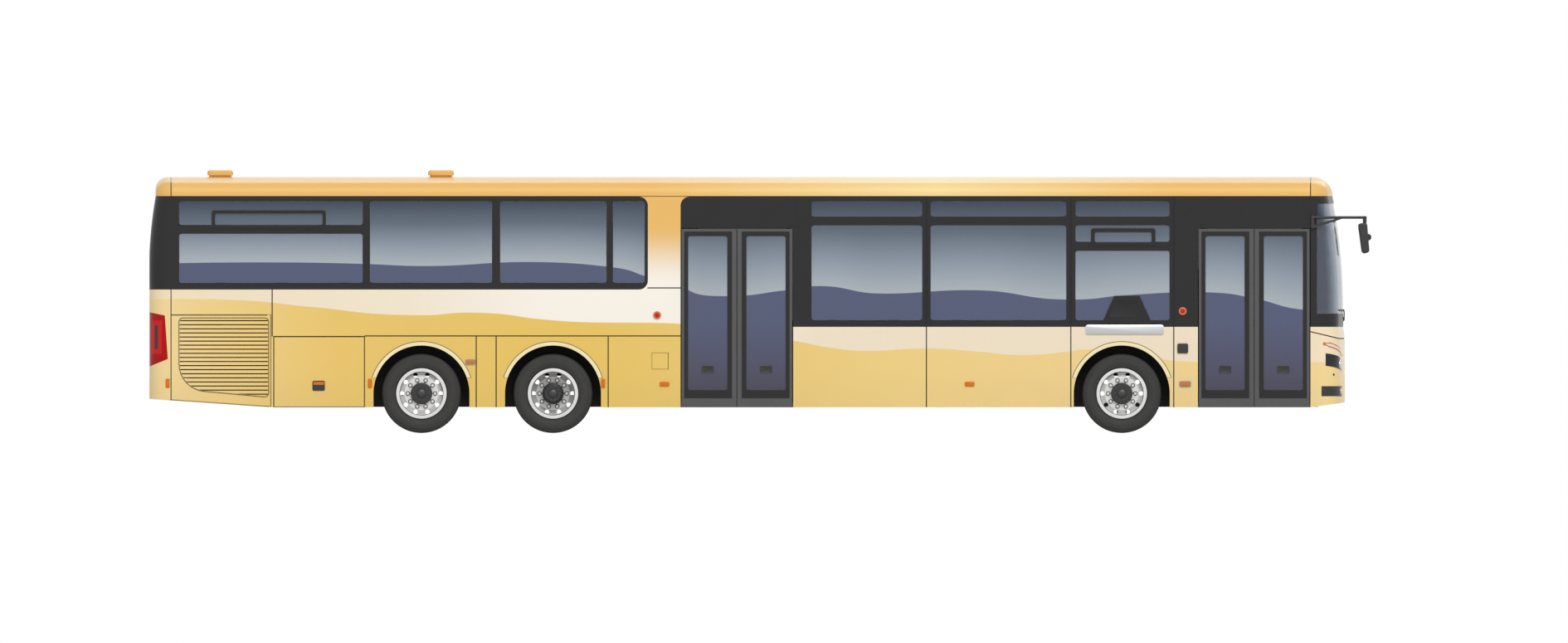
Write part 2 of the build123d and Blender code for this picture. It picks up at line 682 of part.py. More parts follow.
def wall_grooves(rows):
    """Panel joints in the open side sketch, from rows of x0, x1, z0, z1 limits."""
    for x0, x1, z0, z1 in rows:
        panel(x0 - GROOVE / 2, x1 + GROOVE / 2, z0 - GROOVE / 2, z1 + GROOVE / 2)


REAR_GROOVES = [
    (X_RADIATOR, X_RADIATOR, SERVICE_FLAP_TOP, BELT_REAR_Z),
    (X_SERVICE, X_MID_DOOR, SERVICE_FLAP_TOP, SERVICE_FLAP_TOP),
    (X_TAG_AXLE + 671, X_TAG_AXLE + 671, SKIRT_Z, SERVICE_FLAP_TOP),
    (X_DRIVE_AXLE - 696, X_DRIVE_AXLE - 696, SKIRT_Z, SERVICE_FLAP_TOP),
    (X_DRIVE_AXLE + 676, X_DRIVE_AXLE + 676, SKIRT_Z, SERVICE_FLAP_TOP),
    (X_BAND_END, X_MID_DOOR, BELT_REAR_Z + 20, BELT_REAR_Z + 20),
]
FRONT_GROOVES = [
    (X_BLOCK + 0.3292 * BLOCK_LENGTH, X_BLOCK + 0.3292 * BLOCK_LENGTH, SKIRT_Z, BELT_FRONT_Z),
    (X_BLOCK + 0.6862 * BLOCK_LENGTH, X_BLOCK + 0.6862 * BLOCK_LENGTH, SKIRT_Z, BELT_FRONT_Z),
    (X_BLOCK + 0.9405 * BLOCK_LENGTH, X_BLOCK + 0.9405 * BLOCK_LENGTH, SKIRT_Z, BELT_FRONT_Z),
]

with BuildPart() as wall_right_rear:
    with BuildSketch(RIGHT_FACE):
        panel(X_REAR_CAP, X_MID_DOOR, SKIRT_Z, CANTRAIL_Z)
        panel(X_MID_DOOR, X_MID_DOOR + BAND_CORNER, CANTRAIL_Z - BAND_CORNER, CANTRAIL_Z)
        add(rear_band_outline.sketch_local, mode=Mode.SUBTRACT)
        add(mid_header_outline.sketch_local, mode=Mode.SUBTRACT)
        for x_axle in (X_TAG_AXLE, X_DRIVE_AXLE):
            arch_opening(x_axle, ARCH_R, SKIRT_Z, mode=Mode.SUBTRACT)
        panel(X_REAR_CAP + LEDGE, X_RADIATOR - LEDGE, SKIRT_Z + TAIL_RISE, RADIATOR_FLAP_TOP - LEDGE, 0, Mode.SUBTRACT)
        panel(X_RADIATOR + LEDGE, X_SERVICE - LEDGE, SKIRT_Z + LEDGE, SERVICE_FLAP_TOP - LEDGE, 0, Mode.SUBTRACT)
    extrude(amount=-WALL)
    with BuildSketch(RIGHT_FACE):
        panel(X_REAR_CAP, X_RADIATOR - FLAP_POST / 2, SKIRT_Z, RADIATOR_FLAP_TOP)
        panel(X_RADIATOR + FLAP_POST / 2, X_SERVICE, SKIRT_Z, SERVICE_FLAP_TOP)
    extrude(amount=-FLAP - FLAP_GAP, mode=Mode.SUBTRACT)
    y_hinge = HINGE_R - HALF_WIDTH
    block(
        X_RADIATOR_HINGE - HINGE_R,
        X_RADIATOR,
        -HALF_WIDTH,
        FLAP + FLAP_GAP - HALF_WIDTH,
        SKIRT_Z,
        SKIRT_Z + FLAP_FOOT - FLAP_GAP,
    )
    with Locations((X_RADIATOR_HINGE, y_hinge, RADIATOR_FLAP_TOP - HINGE_PIN / 2 + 1)):
        Cylinder(HINGE_PIN_R, HINGE_PIN + 2)
    with Locations((X_RADIATOR_HINGE, y_hinge, SKIRT_Z + FLAP_FOOT - FLAP_GAP + HINGE_PIN / 2 - 1)):
        Cylinder(HINGE_PIN_R, HINGE_PIN + 2)
    for x_end, way in ((X_RADIATOR + FLAP_POST / 2, 1), (X_SERVICE, -1)):
        with Locations((x_end + way * (HINGE_PIN / 2 - 1), y_hinge, SERVICE_HINGE_Z)):
            Cylinder(HINGE_PIN_R, HINGE_PIN + 2, rotation=(0, 90, 0))
    with BuildSketch(RIGHT_FACE):
        wall_grooves(REAR_GROOVES)
    extrude(amount=-GROOVE_DEPTH, mode=Mode.SUBTRACT)
    with BuildSketch(RIGHT_FACE):
        panel(FILLER_X - FILLER / 2, FILLER_X + FILLER / 2, FILLER_Z - FILLER / 2, FILLER_Z + FILLER / 2)
    extrude(amount=-WALL + 12, mode=Mode.SUBTRACT)
    with BuildSketch(RIGHT_FACE.offset(-WALL + 12)):
        with Locations((FILLER_X, FILLER_Z)):
            Circle(45)
    extrude(amount=14)
    for way in (-1, 1):
        with Locations(
            (X_FILLER_HINGE, FILLER_FLAP / 2 - HALF_WIDTH, FILLER_Z + way * (FILLER / 2 - FILLER_PIN / 2 + 1))
        ):
            Cylinder(FILLER_PIN_R, FILLER_PIN + 2)
    with BuildSketch(RIGHT_FACE):
        for x_axle in (X_TAG_AXLE, X_DRIVE_AXLE):
            arch_lip(x_axle)
    extrude(amount=LIP_PROUD)
    add(wedge, mode=Mode.SUBTRACT)

with BuildPart() as wall_right_front:
    with BuildSketch(RIGHT_FACE):
        panel(X_BLOCK, X_FRONT_DOOR, SKIRT_Z, BELT_FRONT_Z)
        arch_opening(X_FRONT_AXLE, ARCH_R, SKIRT_Z, mode=Mode.SUBTRACT)
    extrude(amount=-WALL)
    with BuildSketch(RIGHT_FACE):
        wall_grooves(FRONT_GROOVES)
    extrude(amount=-GROOVE_DEPTH, mode=Mode.SUBTRACT)
    with BuildSketch(RIGHT_FACE):
        arch_lip(X_FRONT_AXLE)
    extrude(amount=LIP_PROUD)

with BuildPart() as side_wall_right:
    add(wall_right_rear.part)
    add(wall_right_front.part)
write(side_wall_right.part, "side_wall_right")

with BuildPart() as wall_left:
    with BuildSketch(RIGHT_FACE):
        panel(X_REAR_CAP, X_FRONT_CAP, SKIRT_Z, CANTRAIL_Z)
        add(rear_band_outline.sketch_local, mode=Mode.SUBTRACT)
        add(left_band_outline.sketch_local, mode=Mode.SUBTRACT)
        for x_axle in (X_TAG_AXLE, X_DRIVE_AXLE, X_FRONT_AXLE):
            arch_opening(x_axle, ARCH_R, SKIRT_Z, mode=Mode.SUBTRACT)
    extrude(amount=-WALL)
    with BuildSketch(RIGHT_FACE):
        wall_grooves(REAR_GROOVES)
        wall_grooves(FRONT_GROOVES)
        wall_grooves(
            [
                (X_REAR_CAP, X_SERVICE, SERVICE_FLAP_TOP, SERVICE_FLAP_TOP),
                (X_RADIATOR, X_RADIATOR, SKIRT_Z, SERVICE_FLAP_TOP),
                (X_SERVICE, X_SERVICE, SKIRT_Z, SERVICE_FLAP_TOP),
                (X_BLOCK, X_BLOCK, SKIRT_Z, BELT_FRONT_Z),
                (X_MID_DOOR, X_MID_DOOR, SKIRT_Z, BELT_FRONT_Z),
                (X_FRONT_DOOR, X_FRONT_DOOR, SKIRT_Z, BELT_FRONT_Z),
            ]
        )
    extrude(amount=-GROOVE_DEPTH, mode=Mode.SUBTRACT)
    with BuildSketch(RIGHT_FACE):
        for x_axle in (X_TAG_AXLE, X_DRIVE_AXLE, X_FRONT_AXLE):
            arch_lip(x_axle)
    extrude(amount=LIP_PROUD)
    add(wedge, mode=Mode.SUBTRACT)

with BuildPart() as side_wall_left:
    mirror(wall_left.part, about=Plane.XZ)
write(side_wall_left.part, "side_wall_left")

# Flaps on the right: radiator louvres, service flap and fuel filler
LOUVRE_REAR = X_REAR_CAP + 106
LOUVRE_FRONT = X_RADIATOR - 51
LOUVRE_SWEEP = 330
LOUVRE_CORNER = 40
LOUVRE_ROWS = 20
LOUVRE_FOOT_Z = SKIRT_Z + 118
X_HANDLE = (X_RADIATOR + X_SERVICE) / 2
with BuildPart() as radiator_flap:
    with BuildSketch(RIGHT_FACE):
        panel(
            X_REAR_CAP + FLAP_GAP,
            X_RADIATOR - FLAP_POST / 2 - FLAP_GAP,
            SKIRT_Z + FLAP_FOOT,
            RADIATOR_FLAP_TOP - FLAP_GAP,
        )
    extrude(amount=-FLAP)
    fillet(radiator_flap.faces().sort_by(Axis.X)[-1].edges().filter_by(Axis.Z), HINGE_R - 0.1)
    for z_pin in (RADIATOR_FLAP_TOP - HINGE_PIN / 2, SKIRT_Z + FLAP_FOOT - FLAP_GAP + HINGE_PIN / 2):
        with Locations((X_RADIATOR_HINGE, HINGE_R - HALF_WIDTH, z_pin)):
            Cylinder(HINGE_PIN_R + RUN, HINGE_PIN + 2, mode=Mode.SUBTRACT)
    with BuildSketch(RIGHT_FACE) as louvres:
        with BuildLine():
            Polyline(
                (LOUVRE_REAR, RADIATOR_FLAP_TOP - 51),
                (LOUVRE_FRONT, RADIATOR_FLAP_TOP - 51),
                (LOUVRE_FRONT, SKIRT_Z + 132),
                (LOUVRE_REAR, SKIRT_Z + 231),
                close=True,
            )
        make_face()
        fillet(louvres.vertices().group_by(Axis.X)[0].sort_by(Axis.Y)[0], LOUVRE_SWEEP)
        fillet(louvres.vertices().sort_by(Axis.Y)[-2:], LOUVRE_CORNER)
        fillet(louvres.vertices().group_by(Axis.X)[-1].sort_by(Axis.Y)[0], LOUVRE_CORNER)
        for row in range(LOUVRE_ROWS):
            z = LOUVRE_FOOT_Z + row * SLAT_PITCH
            panel(X_REAR_CAP, X_RADIATOR, z, z + SLAT_PITCH - SLAT_SLOT, mode=Mode.SUBTRACT)
    extrude(amount=-FLAP, mode=Mode.SUBTRACT)
    with BuildSketch(RIGHT_FACE):
        with BuildLine():
            Polyline(
                (X_REAR, SKIRT_Z + TAIL_RISE + FLAP_FOOT),
                (X_TAIL_FLAT, SKIRT_Z + FLAP_FOOT),
                (X_REAR, SKIRT_Z),
                close=True,
            )
        make_face()
    extrude(amount=-FLAP, mode=Mode.SUBTRACT)
write(radiator_flap.part, "radiator_flap")

with BuildPart() as service_flap:
    with BuildSketch(RIGHT_FACE):
        panel(X_RADIATOR + FLAP_POST / 2 + FLAP_GAP, X_SERVICE - FLAP_GAP, SKIRT_Z, SERVICE_FLAP_TOP - FLAP_GAP)
    extrude(amount=-FLAP)
    fillet(service_flap.faces().sort_by(Axis.Z)[-1].edges().filter_by(Axis.X), HINGE_R - 0.1)
    for x_end, way in ((X_RADIATOR + FLAP_POST / 2, 1), (X_SERVICE, -1)):
        with Locations((x_end + way * HINGE_PIN / 2, HINGE_R - HALF_WIDTH, SERVICE_HINGE_Z)):
            Cylinder(HINGE_PIN_R + RUN, HINGE_PIN + 2, rotation=(0, 90, 0), mode=Mode.SUBTRACT)
    with BuildSketch(RIGHT_FACE):
        panel(X_HANDLE - 76, X_HANDLE + 76, 518, 640, 20)
    extrude(amount=HOPPER_PROUD)
write(service_flap.part, "service_flap")

with BuildPart() as filler_flap:
    half = FILLER / 2 - FLAP_GAP
    with BuildSketch(RIGHT_FACE):
        panel(FILLER_X - half, FILLER_X + half, FILLER_Z - half, FILLER_Z + half)
    extrude(amount=-FILLER_FLAP)
    fillet(filler_flap.faces().sort_by(Axis.X)[-1].edges().filter_by(Axis.Z), FILLER_FLAP / 2 - 0.1)
    for way in (-1, 1):
        with Locations((X_FILLER_HINGE, FILLER_FLAP / 2 - HALF_WIDTH, FILLER_Z + way * (FILLER / 2 - FILLER_PIN / 2))):
            Cylinder(FILLER_PIN_R + RUN, FILLER_PIN + 2, mode=Mode.SUBTRACT)
write(filler_flap.part, "filler_flap")

# Door leaves, their glass, and the turning pillars with two cranked arms each
DOOR_OPEN = 150
LEAF_TOP_Z = DOOR_TOP_Z - LEAF_HEAD_GAP
ARM_LEVELS = [LEAF_FOOT_Z + 318, LEAF_TOP_Z - 290]
PIN_DEPTH = DOOR_PILLAR_DEPTH + PIN_RISE
CRANK_OPEN = (-20, -132)
LEAVES = [
    ("mid_rear", X_MID_DOOR, 1),
    ("mid_front", X_BLOCK, -1),
    ("front_rear", X_FRONT_DOOR, 1),
    ("front_front", X_FRONT_CAP, -1),
]
crank_u = CRANK_OPEN[0] * cos(radians(DOOR_OPEN)) - CRANK_OPEN[1] * sin(radians(DOOR_OPEN))
crank_v = CRANK_OPEN[0] * sin(radians(DOOR_OPEN)) + CRANK_OPEN[1] * cos(radians(DOOR_OPEN))


def link(x0, y0, x1, y1, width):
    """Round-ended bar between two points in the open sketch."""
    length = sqrt((x1 - x0) ** 2 + (y1 - y0) ** 2)
    with BuildLine() as line:
        Line((x0, y0), (x1, y1))
    with Locations(((x0 + x1) / 2, (y0 + y1) / 2)):
        SlotCenterToCenter(length, width, rotation=(line.line % 0).get_angle(Vector(1, 0)) * (1 if y1 > y0 else -1))


def door_glass_limits(jamb, way, fit):
    """Limits of the glass opening of one leaf, from its jamb."""
    edge = jamb + way * (LEAF_GAP + DOOR_GLASS_EDGE + fit)
    meet = jamb + way * (LEAF_GAP + LEAF_WIDTH - DOOR_GLASS_MEET - fit)
    return min(edge, meet), max(edge, meet), LEAF_FOOT_Z + DOOR_GLASS_FOOT + fit, LEAF_TOP_Z - DOOR_GLASS_HEAD - fit


for leaf_name, jamb, way in LEAVES:
    first = jamb + way * LEAF_GAP
    last = first + way * LEAF_WIDTH
    x_pin = jamb + way * PIN_IN
    y_pin = PIN_DEPTH - HALF_WIDTH
    x_pillar = jamb + way * DOOR_PILLAR_IN
    y_pillar = DOOR_PILLAR_DEPTH - HALF_WIDTH
    x_crank = x_pillar + way * crank_u
    y_crank = y_pillar + crank_v
    gx0, gx1, gz0, gz1 = door_glass_limits(jamb, way, 0)
    with BuildPart() as door_leaf:
        with BuildSketch(RIGHT_FACE):
            panel(min(first, last), max(first, last), LEAF_FOOT_Z, LEAF_TOP_Z)
            panel(gx0, gx1, gz0, gz1, WINDOW_CORNER, Mode.SUBTRACT)
        extrude(amount=-LEAF)
        for z_arm in ARM_LEVELS:
            block(gx0 - 20, gx1 + 20, LEAF - HALF_WIDTH - 4, LEAF - HALF_WIDTH + 22, z_arm - 40, z_arm)
            block(x_pin - 25, x_pin + 25, LEAF - HALF_WIDTH, y_pin + 22, z_arm - 40, z_arm)
            with Locations((x_pin, y_pin, z_arm + ARM_HEIGHT / 2)):
                Cylinder(PIN_R, ARM_HEIGHT)
    write(door_leaf.part, f"door_leaf_{leaf_name}")

    gx0, gx1, gz0, gz1 = door_glass_limits(jamb, way, GLASS_FIT)
    with BuildPart() as door_glass:
        with BuildSketch(PANE_FACE):
            panel(gx0, gx1, gz0, gz1, WINDOW_CORNER - GLASS_FIT)
        extrude(amount=-GLASS)
    write(door_glass.part, f"door_glass_{leaf_name}")

    with BuildPart() as door_arm:
        with Locations((x_pillar, y_pillar, (LOW_FLOOR_Z + DOOR_TOP_Z) / 2)):
            Cylinder(DOOR_PILLAR_R, DOOR_TOP_Z - LOW_FLOOR_Z - 2 * RUN)
        for z_arm in ARM_LEVELS:
            with BuildSketch(Plane.XY.offset(z_arm + RUN)):
                link(x_pillar, y_pillar, x_crank, y_crank, ARM_WIDTH)
                link(x_crank, y_crank, x_pin, y_pin, ARM_WIDTH)
                with Locations((x_pin, y_pin)):
                    Circle(PIN_R + 12)
                    Circle(PIN_R + RUN, mode=Mode.SUBTRACT)
            extrude(amount=ARM_HEIGHT)
    write(door_arm.part, f"door_arm_{leaf_name}")

with BuildPart() as door_drives:
    for x0, x1 in ((X_MID_DOOR, X_BLOCK), (X_FRONT_DOOR, X_FRONT_CAP)):
        block(x0, x1 - JOINT, -INNER_HALF, 175 - INNER_HALF, DOOR_TOP_Z, DOOR_TOP_Z + 190)
write(door_drives.part, "door_drives")

# Floor: low in front, stepping up behind the middle door, open over the wheels
FLOOR_FRONT = 330
WELL = ARCH_R + LINER + RUN
with BuildPart() as floor:
    block(X_STEP, X_FRONT - FLOOR_FRONT, -INNER_HALF, INNER_HALF, LOW_FLOOR_Z - FLOOR, LOW_FLOOR_Z)
    block(X_STEP, X_STEP + FLOOR, -INNER_HALF, INNER_HALF, LOW_FLOOR_Z - FLOOR, HIGH_FLOOR_Z)
    block(X_REAR_CAP, X_STEP + FLOOR, -INNER_HALF, INNER_HALF, HIGH_FLOOR_Z - FLOOR, HIGH_FLOOR_Z)
    for x_axle in (X_TAG_AXLE, X_DRIVE_AXLE, X_FRONT_AXLE):
        for side in (-1, 1):
            y0, y1 = sorted((side * (LINER_INNER_Y - LINER - RUN), side * INNER_HALF))
            block(x_axle - WELL, x_axle + WELL, y0, y1, LOW_FLOOR_Z - FLOOR, HIGH_FLOOR_Z, mode=Mode.SUBTRACT)
    block(X_FRONT_CAP, X_FRONT, -HALF_WIDTH, -1080, LOW_FLOOR_Z - FLOOR, LOW_FLOOR_Z, mode=Mode.SUBTRACT)
    block(X_FRONT_CAP, X_FRONT, 1080, HALF_WIDTH, LOW_FLOOR_Z - FLOOR, LOW_FLOOR_Z, mode=Mode.SUBTRACT)
write(floor.part, "floor")

# Wheel arch liners, open outward and below
LINER_FOOT_Z = SKIRT_Z + 5
with BuildPart() as wheel_arch_liners:
    for x_axle in (X_TAG_AXLE, X_DRIVE_AXLE, X_FRONT_AXLE):
        with BuildSketch(Plane.XZ.offset(INNER_HALF)):
            arch_opening(x_axle, ARCH_R + LINER, LINER_FOOT_Z)
            arch_opening(x_axle, ARCH_R, LINER_FOOT_Z, mode=Mode.SUBTRACT)
        extrude(amount=LINER_INNER_Y - LINER - INNER_HALF)
        with BuildSketch(Plane.XZ.offset(LINER_INNER_Y)):
            arch_opening(x_axle, ARCH_R + LINER, LINER_FOOT_Z)
            panel(x_axle - 300, x_axle + 300, LINER_FOOT_Z, TYRE_R + 215, 40, mode=Mode.SUBTRACT)
            panel(x_axle - 300, x_axle + 300, LINER_FOOT_Z, TYRE_R, mode=Mode.SUBTRACT)
        extrude(amount=-LINER)
    mirror(about=Plane.XZ)
write(wheel_arch_liners.part, "wheel_arch_liners")

# Rear frame rails, cross members and the engine cradle
RAIL_START = 300
ENGINE_Z = 440
X_ENGINE = X_REAR + 480
X_ENGINE_END = X_TAG_AXLE - 1412
CRADLES = [X_ENGINE + 220, X_ENGINE_END - 220]
CROSS = [X_TAG_AXLE - 832, (X_TAG_AXLE + X_DRIVE_AXLE) / 2, X_DRIVE_AXLE + 957]
with BuildPart() as underframe:
    for side in (-1, 1):
        y0 = side * RAIL_Y - RAIL_WIDTH / 2
        y1 = side * RAIL_Y + RAIL_WIDTH / 2
        block(X_REAR + RAIL_START, X_STEP, y0, y1, RAIL_Z, RAIL_Z + RAIL_HEIGHT)
        for x in CRADLES:
            block(x - 50, x + 50, y0, y1, ENGINE_Z - 40, RAIL_Z)
    for x in CRADLES:
        block(x - 50, x + 50, -RAIL_Y, RAIL_Y, ENGINE_Z - 40, ENGINE_Z)
    for x in CROSS:
        block(x - 50, x + 50, -RAIL_Y, RAIL_Y, RAIL_Z + 50, RAIL_Z + RAIL_HEIGHT)
write(underframe.part, "underframe")

with BuildPart() as engine:
    block(X_ENGINE, X_ENGINE_END, -400, 400, ENGINE_Z, RAIL_Z + 20)
    chamfer(engine.edges().filter_by(Axis.X), 60)
write(engine.part, "engine")

# Axles with air springs, kingpin eyes on the steered ones, and jacking pads
SPRING_R = 110
SPRING_X = 330
PAD = 120
PAD_DROP = 12
FRONT_BEAM_Z = 272


def kingpin_eye(x, side):
    """Eye at one end of a steered axle, in the open part."""
    with Locations((x, side * KINGPIN_Y, TYRE_R)):
        Cylinder(EYE_R, 2 * EYE_HALF)
    with Locations((x, side * KINGPIN_Y, TYRE_R)):
        Cylinder(KINGPIN_R + RUN, 3 * EYE_HALF, mode=Mode.SUBTRACT)


def springs(x):
    """Carriers under the rails with an air spring at each end, in the open part."""
    for side in (-1, 1):
        y0 = side * RAIL_Y - RAIL_WIDTH / 2
        block(x - SPRING_X - 60, x + SPRING_X + 60, y0, y0 + RAIL_WIDTH, TYRE_R - 85, TYRE_R - 20)
        for way in (-1, 1):
            with Locations((x + way * SPRING_X, side * RAIL_Y, (TYRE_R - 20 + RAIL_Z) / 2)):
                Cylinder(60, RAIL_Z - TYRE_R + 20)
            with Locations((x + way * SPRING_X, side * (RAIL_Y - 45), (TYRE_R + RAIL_Z) / 2)):
                Cylinder(SPRING_R, RAIL_Z - TYRE_R - 60)


with BuildPart() as tag_axle:
    block(X_TAG_AXLE - 60, X_TAG_AXLE + 60, -KINGPIN_Y + 30, KINGPIN_Y - 30, TYRE_R - 60, TYRE_R + 60)
    springs(X_TAG_AXLE)
    for side in (-1, 1):
        kingpin_eye(X_TAG_AXLE, side)
        y = side * RAIL_Y
        block(X_TAG_AXLE - PAD / 2, X_TAG_AXLE + PAD / 2, y - PAD / 2, y + PAD / 2, TYRE_R - 85 - PAD_DROP, TYRE_R)
write(tag_axle.part, "tag_axle")

with BuildPart() as drive_axle:
    with Locations((X_DRIVE_AXLE, 0, TYRE_R)):
        Sphere(205)
        Cylinder(92, 1220, rotation=(90, 0, 0))
        Cylinder(SPINDLE_R, 2 * WHEEL_Y + 60, rotation=(90, 0, 0))
    springs(X_DRIVE_AXLE)
    for side in (-1, 1):
        y = side * RAIL_Y
        block(X_DRIVE_AXLE - PAD / 2, X_DRIVE_AXLE + PAD / 2, y - PAD / 2, y + PAD / 2, TYRE_R - 85 - PAD_DROP, TYRE_R)
write(drive_axle.part, "drive_axle")

with BuildPart() as front_axle:
    with BuildSketch(Plane.YZ.offset(X_FRONT_AXLE - 55)):
        with BuildLine():
            Polyline(
                (KINGPIN_Y - 30, TYRE_R + 55),
                (KINGPIN_Y - 130, TYRE_R + 55),
                (LINER_INNER_Y - 5, FRONT_BEAM_Z + 45),
                (5 - LINER_INNER_Y, FRONT_BEAM_Z + 45),
                (130 - KINGPIN_Y, TYRE_R + 55),
                (30 - KINGPIN_Y, TYRE_R + 55),
                (30 - KINGPIN_Y, TYRE_R - 55),
                (190 - KINGPIN_Y, TYRE_R - 55),
                (45 - LINER_INNER_Y, FRONT_BEAM_Z - 45),
                (LINER_INNER_Y - 45, FRONT_BEAM_Z - 45),
                (KINGPIN_Y - 190, TYRE_R - 55),
                (KINGPIN_Y - 30, TYRE_R - 55),
                close=True,
            )
        make_face()
    extrude(amount=110)
    for side in (-1, 1):
        kingpin_eye(X_FRONT_AXLE, side)
        y = side * (LINER_INNER_Y - 190)
        block(X_FRONT_AXLE - 60, X_FRONT_AXLE + 60, y - 60, y + 60, FRONT_BEAM_Z, LOW_FLOOR_Z - FLOOR)
        block(
            X_FRONT_AXLE - PAD / 2, X_FRONT_AXLE + PAD / 2, y - PAD / 2, y + PAD / 2, FRONT_BEAM_Z - 45 - PAD_DROP,
            FRONT_BEAM_Z,
        )
write(front_axle.part, "front_axle")


# Steering knuckles on the front and tag axles
def knuckle(x, side):
    """Fork round the axle eye with its kingpin and wheel spindle."""
    y = side * KINGPIN_Y
    with BuildPart() as piece:
        with Locations((x, y, TYRE_R)):
            Cylinder(KINGPIN_R, 2 * FORK_HALF)
        for low, high in ((EYE_HALF + 1, FORK_HALF), (-FORK_HALF, -EYE_HALF - 1)):
            y0, y1 = sorted((y - side * 42, y + side * 110))
            block(x - 52, x + 52, y0, y1, TYRE_R + low, TYRE_R + high)
        y0, y1 = sorted((y + side * 64, y + side * 110))
        block(x - 52, x + 52, y0, y1, TYRE_R - FORK_HALF, TYRE_R + FORK_HALF)
        y0, y1 = sorted((y + side * 90, side * (WHEEL_Y + 86)))
        with Locations((x, (y0 + y1) / 2, TYRE_R)):
            Cylinder(SPINDLE_R, y1 - y0, rotation=(90, 0, 0))
    return piece.part


KNUCKLES = [
    ("front_left", X_FRONT_AXLE, 1),
    ("front_right", X_FRONT_AXLE, -1),
    ("tag_left", X_TAG_AXLE, 1),
    ("tag_right", X_TAG_AXLE, -1),
]
for knuckle_name, x_axle, side in KNUCKLES:
    write(knuckle(x_axle, side), f"knuckle_{knuckle_name}")

# Tyres and rims: profiles in distance outward from the wheel's middle and radius
TYRE_PROFILE = [
    (104, RIM_R + RUN),
    (104, FLANGE_R + 4),
    (124, FLANGE_R + 20),
    (140, 385),
    (134, 440),
    (118, 472),
    (96, TYRE_R),
    (-96, TYRE_R),
    (-118, 472),
    (-134, 440),
    (-140, 385),
    (-124, FLANGE_R + 20),
    (-104, FLANGE_R + 4),
    (-104, RIM_R + RUN),
    (-86, RIM_R + RUN),
    (-112, 375),
    (-98, 448),
    (98, 448),
    (112, 375),
    (86, RIM_R + RUN),
]
BARREL_PROFILE = [
    (118, 266),
    (118, FLANGE_R),
    (106, FLANGE_R),
    (106, RIM_R),
    (-106, RIM_R),
    (-106, FLANGE_R),
    (-118, FLANGE_R),
    (-118, 266),
]
SINGLE_DISC = [(14, 268), (34, 268), (82, 206), (82, SPINDLE_R + 6), (64, SPINDLE_R + 6), (64, 202)]
OUTER_DISC = [(-50, 268), (-28, 268), (-142, 206), (-142, SPINDLE_R + 6), (-160, SPINDLE_R + 6), (-160, 208)]
SINGLE_HUB = [(-4, SPINDLE_R + RUN), (-4, 118), (70, HUB_R), (126, HUB_R), (134, 120), (134, 0), (90, 0),
              (90, SPINDLE_R + RUN)]
TWIN_HUB = [(-290, SPINDLE_R + RUN), (-290, 118), (-150, HUB_R), (26, HUB_R), (46, 100), (46, 0), (32, 0),
            (32, SPINDLE_R + RUN)]


def turn(profile, x, side, shift):
    """Turn one closed profile round the wheel's axis, in the open part."""
    with BuildSketch(Plane.YZ.offset(x)) as section:
        with BuildLine():
            Polyline(*[(side * (WHEEL_Y + out + shift), TYRE_R + r) for out, r in profile], close=True)
        make_face()
    revolve(section.sketch, Axis((x, 0, TYRE_R), (0, 1, 0)))


def rim_bolts(x, side, disc_out):
    """Hand holes and wheel nuts on the outer disc, in the open part."""
    face = Plane.XZ.offset(-side * (WHEEL_Y + disc_out))
    with BuildSketch(face) as holes:
        with Locations((x, TYRE_R)):
            with PolarLocations(237, 10):
                Circle(HAND_HOLE_R)
    extrude(holes.sketch, amount=130, both=True, mode=Mode.SUBTRACT)
    with BuildSketch(face) as nuts:
        with Locations((x, TYRE_R)):
            with PolarLocations(NUT_CIRCLE_R, 10):
                RegularPolygon(19, 6)
    extrude(nuts.sketch, amount=-side * 28)


WHEELS = [
    ("front_left", X_FRONT_AXLE, 1, False),
    ("front_right", X_FRONT_AXLE, -1, False),
    ("drive_left", X_DRIVE_AXLE, 1, True),
    ("drive_right", X_DRIVE_AXLE, -1, True),
    ("tag_left", X_TAG_AXLE, 1, False),
    ("tag_right", X_TAG_AXLE, -1, False),
]
for wheel_name, x_axle, side, twin in WHEELS:
    with BuildPart() as tyre:
        turn(TYRE_PROFILE, x_axle, side, 0)
        if twin:
            turn(TYRE_PROFILE, x_axle, side, -TWIN_SPACING)
    write(tyre.part, f"tyre_{wheel_name}")

    with BuildPart() as rim:
        if twin:
            turn(OUTER_DISC, x_axle, side, 0)
            turn([(-TWIN_SPACING - out, r) for out, r in OUTER_DISC], x_axle, side, 0)
            rim_bolts(x_axle, side, -142)
            turn(BARREL_PROFILE, x_axle, side, 0)
            turn(BARREL_PROFILE, x_axle, side, -TWIN_SPACING)
            turn(TWIN_HUB, x_axle, side, 0)
        else:
            turn(SINGLE_DISC, x_axle, side, 0)
            rim_bolts(x_axle, side, 82)
            turn(BARREL_PROFILE, x_axle, side, 0)
            turn(SINGLE_HUB, x_axle, side, 0)
    write(rim.part, f"rim_{wheel_name}")

